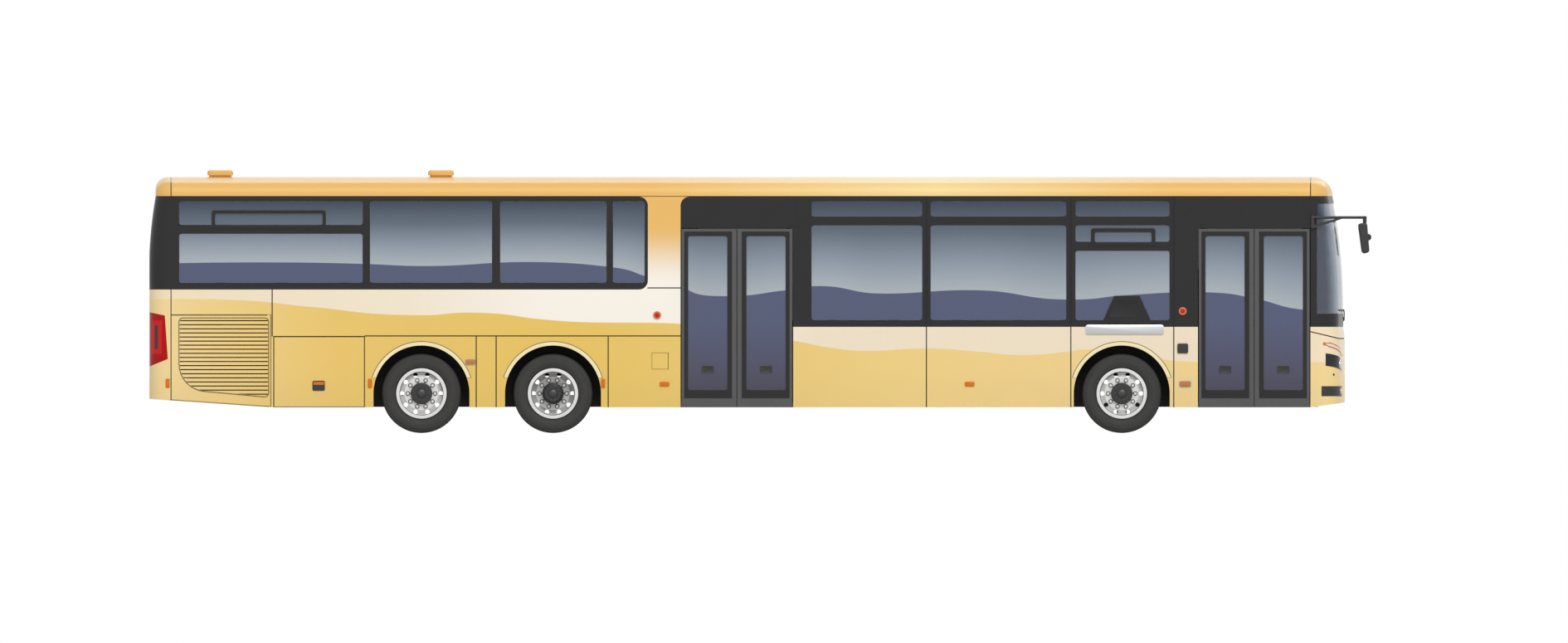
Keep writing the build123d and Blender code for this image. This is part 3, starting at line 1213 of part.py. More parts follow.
# Small lamps, reflectors and door buttons on the side walls: x, z, length, height
MARKERS = [
    (X_TAG_AXLE + 600, 870, 122, 62),
    (X_MID_DOOR - 196, 600, 120, 56),
    (X_BLOCK + 0.637 * (X_FRONT_AXLE - ARCH_R - LIP - X_BLOCK), 600, 120, 56),
    (X_FRONT_DOOR - 155, 600, 140, 70),
    (X_TAG_AXLE - 630, 610, 50, 112),
    (X_DRIVE_AXLE + 614, 610, 50, 112),
    (X_FRONT_DOOR - 185, 1036, 132, 120),
]
BUTTONS = [(X_MID_DOOR - 287, 1443), (X_FRONT_DOOR - 185, 1494)]
MARKER_PROUD = 12
with BuildPart() as side_markers:
    with BuildSketch(RIGHT_FACE):
        for x, z, length, height in MARKERS:
            panel(x - length / 2, x + length / 2, z - height / 2, z + height / 2, 18)
    extrude(amount=MARKER_PROUD)
    mirror(about=Plane.XZ)
    with BuildSketch(RIGHT_FACE):
        for x, z in BUTTONS:
            with Locations((x, z)):
                Circle(48)
    extrude(amount=MARKER_PROUD)
write(side_markers.part, "side_markers")

# Mirrors on two struts each
MIRROR_Y = 1400
MIRROR_ARM_Z = CANTRAIL_Z - 255
STRUT_Z = MIRROR_ARM_Z - 128
MIRROR_WIDTH = 215
MIRROR_PROFILE = [(-168, -76), (-53, -61), (-23, -425), (-116, -450)]
MIRROR_KNOB_R = 42
with BuildPart() as mirror_head:
    with BuildSketch(Plane.XZ.offset(MIRROR_Y - MIRROR_WIDTH)) as mirror_profile:
        with BuildLine():
            Polyline(*[(X_MIRROR + x, MIRROR_ARM_Z + z) for x, z in MIRROR_PROFILE], close=True)
        make_face()
        fillet(mirror_profile.vertices(), 35)
    extrude(amount=MIRROR_WIDTH)
    fillet(mirror_head.faces().sort_by(Axis.Y)[0].edges(), 22)
    fillet(mirror_head.faces().sort_by(Axis.Y)[-1].edges(), 22)
    with Locations((X_MIRROR - MIRROR_KNOB_R, MIRROR_WIDTH / 2 - MIRROR_Y, MIRROR_ARM_Z - 242)):
        Cylinder(MIRROR_KNOB_R, MIRROR_WIDTH / 2, rotation=(90, 0, 0))

with BuildPart() as mirrors:
    y_arm = HALF_WIDTH + 18
    block(X_FRONT_CAP + 8, X_FRONT_CAP + 44, -y_arm - 14, 15 - HALF_WIDTH, STRUT_Z - 4, MIRROR_ARM_Z + 26)
    add(screen_outer, mode=Mode.SUBTRACT)
    with BuildSketch(Plane.YZ.offset(X_FRONT_CAP + 20)):
        with Locations((-y_arm, MIRROR_ARM_Z)):
            Circle(17)
    extrude(amount=X_MIRROR - X_FRONT_CAP - 78)
    with BuildSketch(Plane.XZ.offset(y_arm - 12)):
        with BuildLine():
            Polyline(
                (X_FRONT_CAP + 20, STRUT_Z),
                (X_FRONT_CAP + 50, STRUT_Z),
                (X_FRONT_CAP + 420, MIRROR_ARM_Z - 6),
                (X_FRONT_CAP + 380, MIRROR_ARM_Z + 6),
                (X_FRONT_CAP + 20, STRUT_Z + 28),
                close=True,
            )
        make_face()
    extrude(amount=24)
    with Locations((X_MIRROR - 82, -y_arm, MIRROR_ARM_Z - 30)):
        Cylinder(23, 90)
    add(mirror_head.part)
    mirror(about=Plane.XZ)
write(mirrors.part, "mirrors")

# Roof ventilators, at two distances from the rear
VENTS = [711, 3414]
VENT_LENGTH = 315
VENT_HEIGHT = 85
with BuildPart() as vent:
    block(0, VENT_LENGTH, -260, 260, ROOF_TOP + 22, ROOF_TOP + VENT_HEIGHT)
    fillet(vent.edges().filter_by(Axis.Z), 45)
    fillet(vent.faces().sort_by(Axis.Z)[-1].edges(), 30)
    block(20, VENT_LENGTH - 20, -235, 235, ROOF_TOP + RUN, ROOF_TOP + 30)

with BuildPart() as roof_vents:
    with Locations(*[(X_REAR + station, 0, 0) for station in VENTS]):
        add(vent.part)
write(roof_vents.part, "roof_vents")

# Passenger seats, in pairs from the wall to the aisle: x, floor height, sides
SEAT_AISLE_Y = 330
SEAT_PROFILE = [(430, 390), (440, 455), (60, 440), (-50, 1060), (-110, 1060), (-30, 390)]
SEAT_PITCH = 760
SEAT_REACH = 440
X_HIGH_SEAT = X_REAR + 900
X_LOW_SEAT = X_BLOCK + 535
high_rows = int((X_STEP - SEAT_REACH - X_HIGH_SEAT) // SEAT_PITCH) + 1
low_rows = int((X_FRONT_AXLE - WELL - SEAT_REACH - X_LOW_SEAT) // SEAT_PITCH) + 1
SEATS = [(X_HIGH_SEAT + row * SEAT_PITCH, HIGH_FLOOR_Z, (-1, 1)) for row in range(high_rows)]
SEATS += [(X_LOW_SEAT + row * SEAT_PITCH, LOW_FLOOR_Z, (1,)) for row in (-2, -1)]
SEATS += [(X_LOW_SEAT + row * SEAT_PITCH, LOW_FLOOR_Z, (-1, 1)) for row in range(low_rows)]
with BuildPart() as seats:
    for x_seat, floor_z, sides in SEATS:
        for side in sides:
            with BuildSketch(Plane.XZ.offset(-side * SEAT_AISLE_Y)) as shape:
                with BuildLine():
                    Polyline(*[(x_seat + x, floor_z + z) for x, z in SEAT_PROFILE], close=True)
                make_face()
            extrude(shape.sketch, amount=-side * (INNER_HALF - SEAT_AISLE_Y))
            y0, y1 = sorted((side * (SEAT_AISLE_Y + 60), side * (SEAT_AISLE_Y + 110)))
            block(x_seat + 140, x_seat + 220, y0, y1, floor_z, floor_z + 400)
write(seats.part, "seats")

# Driver's place: platform, seat, dashboard and steering wheel
DRIVER_Y0 = 330
PLATFORM_Z = LOW_FLOOR_Z + 160
STEERING_Z = PLATFORM_Z + 690
with BuildPart() as driver_station:
    block(X_FRONT_DOOR + 60, X_FRONT_CAP, DRIVER_Y0, INNER_HALF, LOW_FLOOR_Z, PLATFORM_Z)
    block(X_FRONT_DOOR, X_FRONT_DOOR + 60, DRIVER_Y0, INNER_HALF, LOW_FLOOR_Z, 2000)
    block(X_FRONT_CAP - 260, X_FRONT_CAP + 60, DRIVER_Y0 - 60, 1060, LOW_FLOOR_Z, 1240)
    block(X_FRONT_DOOR + 330, X_FRONT_DOOR + 760, 500, 960, PLATFORM_Z + 360, PLATFORM_Z + 460)
    block(X_FRONT_DOOR + 430, X_FRONT_DOOR + 660, 630, 830, PLATFORM_Z, PLATFORM_Z + 380)
    block(X_FRONT_DOOR + 260, X_FRONT_DOOR + 360, 500, 960, PLATFORM_Z + 380, PLATFORM_Z + 1150)
    with Locations((X_FRONT_CAP - 380, 730, STEERING_Z)):
        Torus(225, 17, rotation=(0, 25, 0))
        Cylinder(24, 260, rotation=(0, 25, 0), align=(Align.CENTER, Align.CENTER, Align.MAX))
    with Locations((X_FRONT_CAP - 380, 730, STEERING_Z - 4)):
        Box(40, 440, 16, rotation=(0, 25, 0))
    block(X_FRONT_CAP - 540, X_FRONT_CAP - 240, 700, 760, 1000, 1060)
write(driver_station.part, "driver_station")

# Grab poles from the floor to the ceiling beside the aisle: x, y, floor height
POLE_R = 17
POLES = [
    (X_LOW_SEAT - 1720, 430, LOW_FLOOR_Z),
    (X_BLOCK + 175, -430, LOW_FLOOR_Z),
    (X_BLOCK + 1715, 290, LOW_FLOOR_Z),
    (X_FRONT_AXLE - 728, -290, LOW_FLOOR_Z),
    (X_FRONT_DOOR - 140, -430, LOW_FLOOR_Z),
    (X_HIGH_SEAT + 1300, 290, HIGH_FLOOR_Z),
    (X_HIGH_SEAT + 3580, -290, HIGH_FLOOR_Z),
]
CROWN_R = ((INNER_HALF) ** 2 + CROWN_DROP**2) / (2 * CROWN_DROP)
with BuildPart() as grab_poles:
    for x_pole, y, floor_z in POLES:
        reach = abs(y) + POLE_R
        ceiling = ROOF_TOP - WALL - CROWN_R + sqrt(CROWN_R**2 - reach**2)
        with Locations((x_pole, y, (floor_z + ceiling) / 2)):
            Cylinder(POLE_R, ceiling - floor_z - RUN)
write(grab_poles.part, "grab_poles")
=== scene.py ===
import itertools
import math

import bpy
from mathutils import Matrix, Vector


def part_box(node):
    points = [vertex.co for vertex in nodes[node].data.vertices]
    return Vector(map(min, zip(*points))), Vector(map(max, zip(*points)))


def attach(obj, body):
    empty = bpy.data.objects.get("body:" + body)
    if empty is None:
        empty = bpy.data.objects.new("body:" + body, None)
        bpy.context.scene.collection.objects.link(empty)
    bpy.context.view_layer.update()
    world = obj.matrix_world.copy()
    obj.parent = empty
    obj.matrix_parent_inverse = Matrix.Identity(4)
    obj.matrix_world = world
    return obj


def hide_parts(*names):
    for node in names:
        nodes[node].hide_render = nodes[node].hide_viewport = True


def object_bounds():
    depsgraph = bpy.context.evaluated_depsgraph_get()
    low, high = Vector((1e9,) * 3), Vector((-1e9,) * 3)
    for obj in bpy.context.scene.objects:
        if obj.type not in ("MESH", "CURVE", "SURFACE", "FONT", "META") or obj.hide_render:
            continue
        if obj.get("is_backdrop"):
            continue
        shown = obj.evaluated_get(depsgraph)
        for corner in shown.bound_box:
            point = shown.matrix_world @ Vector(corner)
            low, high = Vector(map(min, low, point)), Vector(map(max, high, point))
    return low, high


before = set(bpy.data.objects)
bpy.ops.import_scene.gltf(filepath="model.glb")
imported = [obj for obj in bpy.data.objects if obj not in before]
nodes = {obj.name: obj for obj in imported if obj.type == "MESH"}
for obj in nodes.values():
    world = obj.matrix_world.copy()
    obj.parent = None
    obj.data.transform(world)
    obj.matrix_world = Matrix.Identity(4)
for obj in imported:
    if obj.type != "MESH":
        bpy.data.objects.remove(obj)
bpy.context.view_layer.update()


# Underframe and engine
# Welded steel rails with cross members and a cradle carry the engine at the tail, here one block.
# Both wear sprayed chassis paint: dull black, with road dust lying unevenly on it.
def linear(code):
    """Linear colour of an sRGB hex value."""
    parts = [int(code[i : i + 2], 16) / 255 for i in (1, 3, 5)]
    return [p / 12.92 if p <= 0.04045 else ((p + 0.055) / 1.055) ** 2.4 for p in parts] + [1.0]


def add_node(tree, kind, inputs, stops=(), **settings):
    """Add one shader node with its settings, its values or links, and its colour stops."""
    made = tree.nodes.new("ShaderNode" + kind)
    for key, value in settings.items():
        setattr(made, key, value)
    for key, value in inputs.items():
        if isinstance(value, bpy.types.NodeSocket):
            tree.links.new(value, made.inputs[key])
        else:
            made.inputs[key].default_value = value
    for index, (place, code) in enumerate(stops):
        ramp = made.color_ramp.elements
        stop = ramp[index] if index < 2 else ramp.new(place)
        stop.position = place
        stop.color = linear(code)
    return made


def blend(tree, share, below, above):
    """Mix of two colours by a share from 0 to 1."""
    return add_node(tree, "Mix", {0: share, 6: below, 7: above}, data_type="RGBA").outputs[2]


def spread(tree, value, start, end, low=0.0, high=1.0, kind="LINEAR"):
    """Value mapped from one range onto another and held within it."""
    ends = {"Value": value, "From Min": start, "From Max": end, "To Min": low, "To Max": high}
    return add_node(tree, "MapRange", ends, interpolation_type=kind).outputs["Result"]


def noise(tree, where, size_mm, detail=2.0):
    """Soft random pattern of patches about so many millimetres wide."""
    inputs = {"Vector": where, "Scale": 1000 / size_mm, "Detail": detail}
    return add_node(tree, "TexNoise", inputs).outputs["Fac"]


def emboss(tree, shader, height, depth):
    """Raise a surface by a pattern, which stands a millimetre high at full depth."""
    bump = add_node(tree, "Bump", {"Height": height, "Strength": depth, "Distance": 0.001})
    tree.links.new(bump.outputs["Normal"], shader.inputs["Normal"])


def start_material(name, sockets):
    """New material with values on its shader's own sockets, and its Object coordinates."""
    made = bpy.data.materials.new(name)
    made.use_nodes = True
    tree = made.node_tree
    shader = tree.nodes["Principled BSDF"]
    for key, value in sockets.items():
        shader.inputs[key].default_value = value
    where = add_node(tree, "TexCoord", {}).outputs["Object"]
    return made, tree, shader, where


PATCH_DETAIL = 4.0
GLOSS_DRIFT = 0.06


def mottle(tree, shader, where, light, dark, patch_mm, grain_mm, depth, rough):
    """Let a colour drift in patches, with a fine grain in the bump and the gloss."""
    patches = noise(tree, where, patch_mm, PATCH_DETAIL)
    grain = noise(tree, where, grain_mm)
    drift = blend(tree, patches, linear(dark), linear(light))
    gloss = spread(tree, grain, 0.0, 1.0, rough - GLOSS_DRIFT, rough + GLOSS_DRIFT)
    tree.links.new(drift, shader.inputs["Base Color"])
    tree.links.new(gloss, shader.inputs["Roughness"])
    emboss(tree, shader, grain, depth)
    return drift


def mottled(name, sockets, *pattern):
    """Material of one mottled colour, its pattern given as for mottle."""
    made, tree, shader, where = start_material(name, sockets)
    mottle(tree, shader, where, *pattern)
    return made


def dress(name, *finishes):
    """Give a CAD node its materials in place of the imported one."""
    slots = nodes[name].data.materials
    slots.clear()
    for finish in finishes:
        slots.append(finish)


# Sprayed chassis paint: dull black, 200 mm dust patches, 4 mm grain drawn coarse enough to show.
chassis_paint = mottled("chassis_paint_black", {}, "#3A3733", "#1E1E1F", 200, 4, 0.25, 0.6)
dress("underframe", chassis_paint)
dress("engine", chassis_paint)

# Axles and steering knuckles
# Forged beams with air springs between the rails, and cast knuckles that turn on kingpins.
# The castings keep the grain of the sand mould under thin grey primer.
# Primed iron: a dark, faintly metallic grey with a coarse 3 mm sand grain.
cast_iron = mottled("cast_iron_primed", {"Metallic": 0.35}, "#55534F", "#343436", 120, 3, 0.4, 0.55)
for name in ("front_axle", "drive_axle", "tag_axle"):
    dress(name, cast_iron)
for place in ("front_left", "front_right", "tag_left", "tag_right"):
    dress(f"knuckle_{place}", cast_iron)


# Floor and wheel arch liners
# Plywood floor under welded safety vinyl with a quartz speckle, and dished liners of moulded
# polyethylene that close the wheel arches off from the cabin.
def fleck(tree, shader, where, ground, size_mm, edge, code):
    """Scatter flecks of a second colour over a ground colour, soft within a range of their reach."""
    cells = add_node(tree, "TexVoronoi", {"Vector": where, "Scale": 1000 / size_mm})
    share = spread(tree, cells.outputs["Distance"], *edge)
    tree.links.new(blend(tree, share, linear(code), ground), shader.inputs["Base Color"])


# Safety vinyl: mid grey with pale 9 mm chips, drawn coarse enough to show.
floor_vinyl, tree, shader, where = start_material("safety_vinyl_speckled", {})
drift = mottle(tree, shader, where, "#77797C", "#686A6D", 300, 5, 0.2, 0.55)
fleck(tree, shader, where, drift, 9, (0.12, 0.22), "#B4B6B4")
dress("floor", floor_vinyl)
# Polyethylene: near black and dull, so that the arches read as deep holes.
liner_moulding = mottled("polyethylene_black", {}, "#2A2A2B", "#171718", 150, 5, 0.3, 0.6)
dress("wheel_arch_liners", liner_moulding)

# Rims and hubs
# Pressed steel discs welded into rolled barrels, sprayed wheel silver; the hub behind the ten
# zinc-plated nuts is enamelled black, with ten small bolts round a domed dark grey cap.
WHEEL_Y = 1.085
HUB_RADIUS = 0.140
NUT_RING = (0.145, 0.190)
HUB_FACE = {"front": 1.219, "drive": 1.131, "tag": 1.219}
DISC_FACE = {"front": 1.167, "drive": 0.943, "tag": 1.167}
FLANGE_FACE = 1.203
WHEELS = {f"{axle}_{hand}": way for axle in HUB_FACE for hand, way in (("left", 1), ("right", -1))}
# Wheel silver: bright and clean under lacquer, the lightest thing below the floor line.
silver_gloss = {"Metallic": 0.25, "Coat Weight": 0.3, "Coat Roughness": 0.2}
wheel_silver = mottled("wheel_silver_enamel", silver_gloss, "#E9E9E8", "#D5D5D5", 160, 3, 0.05, 0.38)
# Black hub enamel, glossy, and bright zinc that makes each nut catch the light.
hub_enamel = mottled("hub_enamel_black", {"Coat Weight": 0.3}, "#161617", "#0D0D0E", 60, 3, 0.1, 0.4)
zinc_plate = mottled("zinc_plate_bright", {"Metallic": 0.9}, "#E4E4E2", "#BEBEBC", 20, 2, 0.1, 0.35)


def wheel_axis(place):
    """Middle of a wheel's rim on its axle line, at the outer tyre."""
    low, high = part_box(f"tyre_{place}")
    return Vector(((low.x + high.x) / 2, WHEELS[place] * WHEEL_Y, (low.z + high.z) / 2))


def reach(place, centre):
    """Distance of a place from the axle line through a centre."""
    return math.hypot(place.x - centre.x, place.z - centre.z)


for place, side in WHEELS.items():
    centre = wheel_axis(place)
    nut_foot = DISC_FACE[place.split("_")[0]] + 0.001
    dress(f"rim_{place}", wheel_silver, hub_enamel, zinc_plate)
    for face in nodes[f"rim_{place}"].data.polygons:
        radius = reach(face.center, centre)
        if radius < HUB_RADIUS:
            face.material_index = 1
        elif NUT_RING[0] < radius < NUT_RING[1] and side * face.center.y > nut_foot:
            face.material_index = 2


def mode(kind):
    """Go into edit mode or back to object mode."""
    bpy.ops.object.mode_set(mode=kind)


def take_all():
    """Select all of a piece in edit mode."""
    bpy.ops.mesh.select_all(action="SELECT")


def start_sheet(name, middle, size, kind="VERT"):
    """New flat sheet that faces the door side, left in edit mode with all of it selected."""
    bpy.ops.mesh.primitive_plane_add(size=1.0, location=middle, rotation=(math.radians(90), 0, 0))
    piece = bpy.context.object
    piece.name = piece.data.name = name
    piece.scale = (size[0], size[1], 1.0)
    bpy.ops.object.transform_apply()
    mode("EDIT")
    bpy.ops.mesh.select_mode(type=kind)
    take_all()
    return piece


def start_point(name, place):
    """New piece of a single point, left in edit mode and selected, to be drawn out."""
    piece = start_sheet(name, place, (0.01, 0.01))
    bpy.ops.mesh.merge(type="CENTER")
    return piece


def draw_out(step):
    """Extrude what is selected by one step."""
    bpy.ops.mesh.extrude_region_move(TRANSFORM_OT_translate={"value": step})


def merge_points():
    """Merge the points that lie on each other, and leave all selected."""
    take_all()
    bpy.ops.mesh.remove_doubles(threshold=1e-5)
    take_all()


def close_edit():
    """Turn every face outward and leave edit mode."""
    take_all()
    bpy.ops.mesh.normals_make_consistent(inside=False)
    mode("OBJECT")


def turned(name, profile, centre, steps):
    """Turn a closed outline of (out, radius) points round the axle line through a centre."""
    out, radius = profile[0]
    piece = start_point(name, centre + Vector((0, out, radius)))
    for next_out, next_radius in profile[1:] + profile[:1]:
        draw_out((0, next_out - out, next_radius - radius))
        out, radius = next_out, next_radius
    merge_points()
    bpy.ops.mesh.spin(steps=steps, angle=2 * math.pi, center=centre, axis=(0, 1, 0))
    merge_points()
    bpy.ops.mesh.delete_loose()
    close_edit()
    return piece


def pick(piece, kind, wanted):
    """Select, in edit mode, only the faces or points of a piece that a test accepts."""
    mode("EDIT")
    bpy.ops.mesh.select_mode(type=kind)
    bpy.ops.mesh.select_all(action="DESELECT")
    mode("OBJECT")
    for part in piece.data.polygons if kind == "FACE" else piece.data.vertices:
        part.select = bool(wanted(part))
    mode("EDIT")


def copy_piece(piece, matrix):
    """Copy a piece with its own mesh, moved by a matrix, its faces still outward."""
    made = piece.copy()
    made.data = piece.data.copy()
    made.data.transform(matrix)
    if matrix.determinant() < 0:
        made.data.flip_normals()
    bpy.context.collection.objects.link(made)
    return made


def join(name, pieces):
    """Join several meshes into one piece."""
    bpy.ops.object.select_all(action="DESELECT")
    for piece in pieces:
        piece.select_set(True)
    bpy.context.view_layer.objects.active = pieces[0]
    if len(pieces) > 1:
        bpy.ops.object.join()
    pieces[0].name = pieces[0].data.name = name
    return pieces[0]


def settle(piece, body, finish):
    """Shade a finished piece, give it its material, and let it ride on its body."""
    bpy.ops.object.select_all(action="DESELECT")
    piece.select_set(True)
    bpy.context.view_layer.objects.active = piece
    bpy.ops.object.shade_smooth_by_angle(angle=math.radians(35))
    piece.data.materials.clear()
    piece.data.materials.append(finish)
    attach(piece, body)
    return piece


# Hub trim: cap and bolts on the hub, a washer under each nut, and a bead where disc meets flange.
CAP_OUTLINE = [(0.0, 0.0), (-0.022, 0.0), (-0.020, 0.028), (-0.014, 0.046), (-0.006, 0.055), (0.0, 0.057)]
WASHER_OUTLINE = [(0.0, 0.014), (-0.004, 0.014), (-0.004, 0.025), (0.0, 0.028)]
LINE_OUTLINE = [(0.003, 0.263), (-0.001, 0.263), (-0.002, 0.266), (-0.001, 0.269), (0.003, 0.269)]
BOLT_RING = 0.084
BOLT_SIZE = 0.014
BOLT_CHAMFER = 0.003
NUT_CIRCLE = 0.1675
# Dark grey enamel, scuffed in 40 mm patches, that sets cap and washers off from black and silver.
hub_grey = mottled("hub_enamel_grey", {"Coat Weight": 0.3}, "#333334", "#242425", 40, 3, 0.15, 0.45)


def ring_of_ten(piece):
    """Ten copies of a piece round the axle line, joined, in place of the first one."""
    turns = [Matrix.Rotation(math.radians(36 * step), 4, "Y") for step in range(10)]
    ring = join(piece.name, [copy_piece(piece, turn) for turn in turns])
    bpy.data.objects.remove(piece)
    return ring


cap_model = turned("cap_model", CAP_OUTLINE, Vector(), 32)
line_model = turned("line_model", LINE_OUTLINE, Vector(), 72)
washer_model = ring_of_ten(turned("washer_model", WASHER_OUTLINE, Vector((NUT_CIRCLE, 0, 0)), 20))
bpy.ops.mesh.primitive_cylinder_add(
    vertices=6,
    radius=BOLT_SIZE,
    depth=BOLT_SIZE,
    location=(BOLT_RING, -BOLT_SIZE / 2, 0),
    rotation=(math.radians(90), 0, 0),
)
bolt = bpy.context.object
bpy.ops.object.transform_apply()
pick(bolt, "FACE", lambda face: face.normal.y < -0.9)
bpy.ops.mesh.inset(thickness=BOLT_CHAMFER)
bpy.ops.transform.translate(value=(0, -BOLT_CHAMFER, 0))
mode("OBJECT")
bolt_model = ring_of_ten(bolt)
for place, side in WHEELS.items():
    axle = place.split("_")[0]
    outward = Matrix.Scale(-side, 4, (0, 1, 0))
    trims = []
    for model, face_y in (
        (cap_model, HUB_FACE[axle]),
        (bolt_model, HUB_FACE[axle]),
        (washer_model, DISC_FACE[axle]),
        (line_model, FLANGE_FACE),
    ):
        centre = wheel_axis(place)
        centre.y = side * face_y
        trims.append(copy_piece(model, Matrix.Translation(centre) @ outward))
    settle(join(f"hub_trim_{place}", trims), f"wheel_{place}", hub_grey)
for model in (cap_model, bolt_model, washer_model, line_model):
    bpy.data.objects.remove(model)

# Tyres
# Radial road tyres of black rubber, moulded in one piece: four grooves round the tread, slots cut
# across the shoulders, and a raised ring on the wall. They replace the plain turned solids.
TYRE_STEPS = 160
SLOT_EVERY = 4
SLOT_DEPTH = 0.008
SHOULDER_Y = (0.070, 0.104)
SHOULDER_RADIUS = 0.482
TWIN_SPACING = 0.320
# Half of the outer skin from bead to crown, and the whole inner skin, as (out, radius).
TYRE_HALF = [
    (0.103, 0.288), (0.103, 0.3125), (0.113, 0.317), (0.124, 0.329), (0.127, 0.333), (0.127, 0.341),
    (0.132, 0.350), (0.138, 0.368), (0.140, 0.388), (0.139, 0.410), (0.1375, 0.420), (0.1395, 0.423),
    (0.1385, 0.430), (0.1355, 0.433), (0.132, 0.448), (0.124, 0.466), (0.113, 0.4785), (0.104, 0.4825),
    (0.070, 0.4842), (0.068, 0.472), (0.057, 0.472), (0.055, 0.4846), (0.027, 0.485), (0.025, 0.472),
    (0.014, 0.472), (0.012, 0.485),
]
TYRE_INNER = [
    (-0.086, 0.288), (-0.112, 0.375), (-0.098, 0.448), (0.098, 0.448), (0.112, 0.375), (0.086, 0.288),
]
# Moulded rubber: near black, greyed by road dust in 90 mm patches, with a 3 mm grain.
tyre_rubber = mottled("tyre_rubber_black", {"IOR": 1.52}, "#343331", "#272728", 90, 3, 0.35, 0.75)
first_centre = wheel_axis("front_right")
tyre_outline = TYRE_HALF + [(-out, radius) for out, radius in reversed(TYRE_HALF)] + TYRE_INNER
tyre_model = turned("tyre_model", tyre_outline, first_centre, TYRE_STEPS)


def shoulder_slot(face):
    """Every fourth step of the two outer tread ribs."""
    offset = face.center - first_centre
    turn = math.atan2(offset.z, offset.x) / (2 * math.pi) * TYRE_STEPS
    on_rib = SHOULDER_Y[0] < abs(offset.y) < SHOULDER_Y[1]
    on_tread = reach(face.center, first_centre) > SHOULDER_RADIUS
    return on_rib and on_tread and int(turn + TYRE_STEPS) % SLOT_EVERY == 0


pick(tyre_model, "FACE", shoulder_slot)
bpy.ops.mesh.extrude_region_shrink_fatten(TRANSFORM_OT_shrink_fatten={"value": -SLOT_DEPTH})
mode("OBJECT")
for place, side in WHEELS.items():
    shift = wheel_axis(place) - first_centre
    rings = [copy_piece(tyre_model, Matrix.Translation(shift))]
    if place.startswith("drive"):
        inner = shift - Vector((0, side * TWIN_SPACING, 0))
        rings.append(copy_piece(tyre_model, Matrix.Translation(inner)))
    tyre = settle(join(f"road_tyre_{place}", rings), f"wheel_{place}", tyre_rubber)
    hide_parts(f"tyre_{place}")
bpy.data.objects.remove(tyre_model)

# Side walls, front mask and rear shell
# Glued aluminium panels over the frame, sprayed in two tones that meet along a long wave, cream
# above and corn yellow below, under clear lacquer. Dark sealant fills the panel joints.
BODY_X = (-7.483, 7.157)
WAVE_Z = (0.8, 1.8)
WAVE_EDGE = 0.006
PILLAR_Z = (1.80, 2.55)
REAR_SEAM_X = -7.218
FRONT_SEAM_X = 6.737
ROOF_SEAM_Z = 2.895
SEAM_HALF = 0.006
TAN = "#EBBB6B"
# Waves and colours run along the body, as shares of its length from the tail.
LIVERY_WAVE = [
    (0.000, 0.840), (0.070, 0.830), (0.135, 0.745), (0.228, 0.643), (0.268, 0.675), (0.330, 0.590),
    (0.360, 0.560), (0.440, 0.541), (0.540, 0.328), (0.575, 0.235), (0.598, 0.206), (0.650, 0.236),
    (0.694, 0.196), (0.730, 0.157), (0.768, 0.196), (0.785, 0.225), (0.820, 0.190), (0.866, 0.078),
    (1.000, 0.074),
]
YELLOW_STOPS = [
    (0.000, "#F1D79E"), (0.050, "#EED08A"), (0.160, "#E9C66E"), (0.360, "#E8C464"),
    (0.480, "#EAC976"), (0.620, "#EED086"), (0.800, "#F0D290"), (1.000, "#F1D596"),
]
CREAM_STOPS = [
    (0.000, "#F2DDB4"), (0.060, "#F0E0C4"), (0.220, "#F2E6D0"), (0.330, "#F9F2E8"),
    (0.430, "#F9F3E9"), (0.560, "#EFE1C8"), (0.850, "#EFE0C6"), (1.000, "#F2DFBE"),
]


def reckon(tree, operation, *values):
    """Result of one operation on values or sockets."""
    return add_node(tree, "Math", dict(enumerate(values)), operation=operation).outputs["Value"]


def axes_of(tree, where):
    """Three coordinates of a place as sockets X, Y and Z."""
    return add_node(tree, "SeparateXYZ", {"Vector": where}).outputs


def along_body(tree, where):
    """Share of the body's length, and the height, as two sockets."""
    axes = axes_of(tree, where)
    return spread(tree, axes["X"], *BODY_X), axes["Z"]


def colours(tree, share, stops):
    """Colour at a share of a row of stops."""
    return add_node(tree, "ValToRGB", {"Fac": share}, stops).outputs["Color"]


def wave_height(tree, share, table, heights):
    """Height of a wave along the body, from its table of shares."""
    curve = add_node(tree, "FloatCurve", {"Value": share})
    points = curve.mapping.curves[0].points
    points[0].location = table[0]
    points[1].location = table[-1]
    for place in table[1:-1]:
        points.new(*place)
    curve.mapping.update()
    return spread(tree, curve.outputs["Value"], 0.0, 1.0, *heights)


DUST_Z = (0.32, 0.85)
DUST_MOST = 0.12
DUST_MM = 350
PEEL_MM = 8


def lacquer(tree, shader, where, colour):
    """Road dust low on the body, and the faint orange peel of sprayed lacquer."""
    low = spread(tree, axes_of(tree, where)["Z"], *DUST_Z, DUST_MOST, 0.0, "SMOOTHSTEP")
    share = reckon(tree, "MULTIPLY", low, noise(tree, where, DUST_MM, 6.0))
    dusty = blend(tree, share, colour, linear("#9A8F7C"))
    gloss = spread(tree, share, 0.0, DUST_MOST, 0.3, 0.6)
    tree.links.new(dusty, shader.inputs["Base Color"])
    tree.links.new(gloss, shader.inputs["Roughness"])
    emboss(tree, shader, noise(tree, where, PEEL_MM), 0.04)


def seam_lines(tree, where, colour, seams):
    """Draw narrow joints filled with dark sealant over a colour, each at a place on one axis."""
    line = 0.0
    for axis, place, half in seams:
        hit = reckon(tree, "COMPARE", axes_of(tree, where)[axis], place, half)
        line = reckon(tree, "MAXIMUM", line, hit)
    return blend(tree, line, colour, linear("#3A332A"))


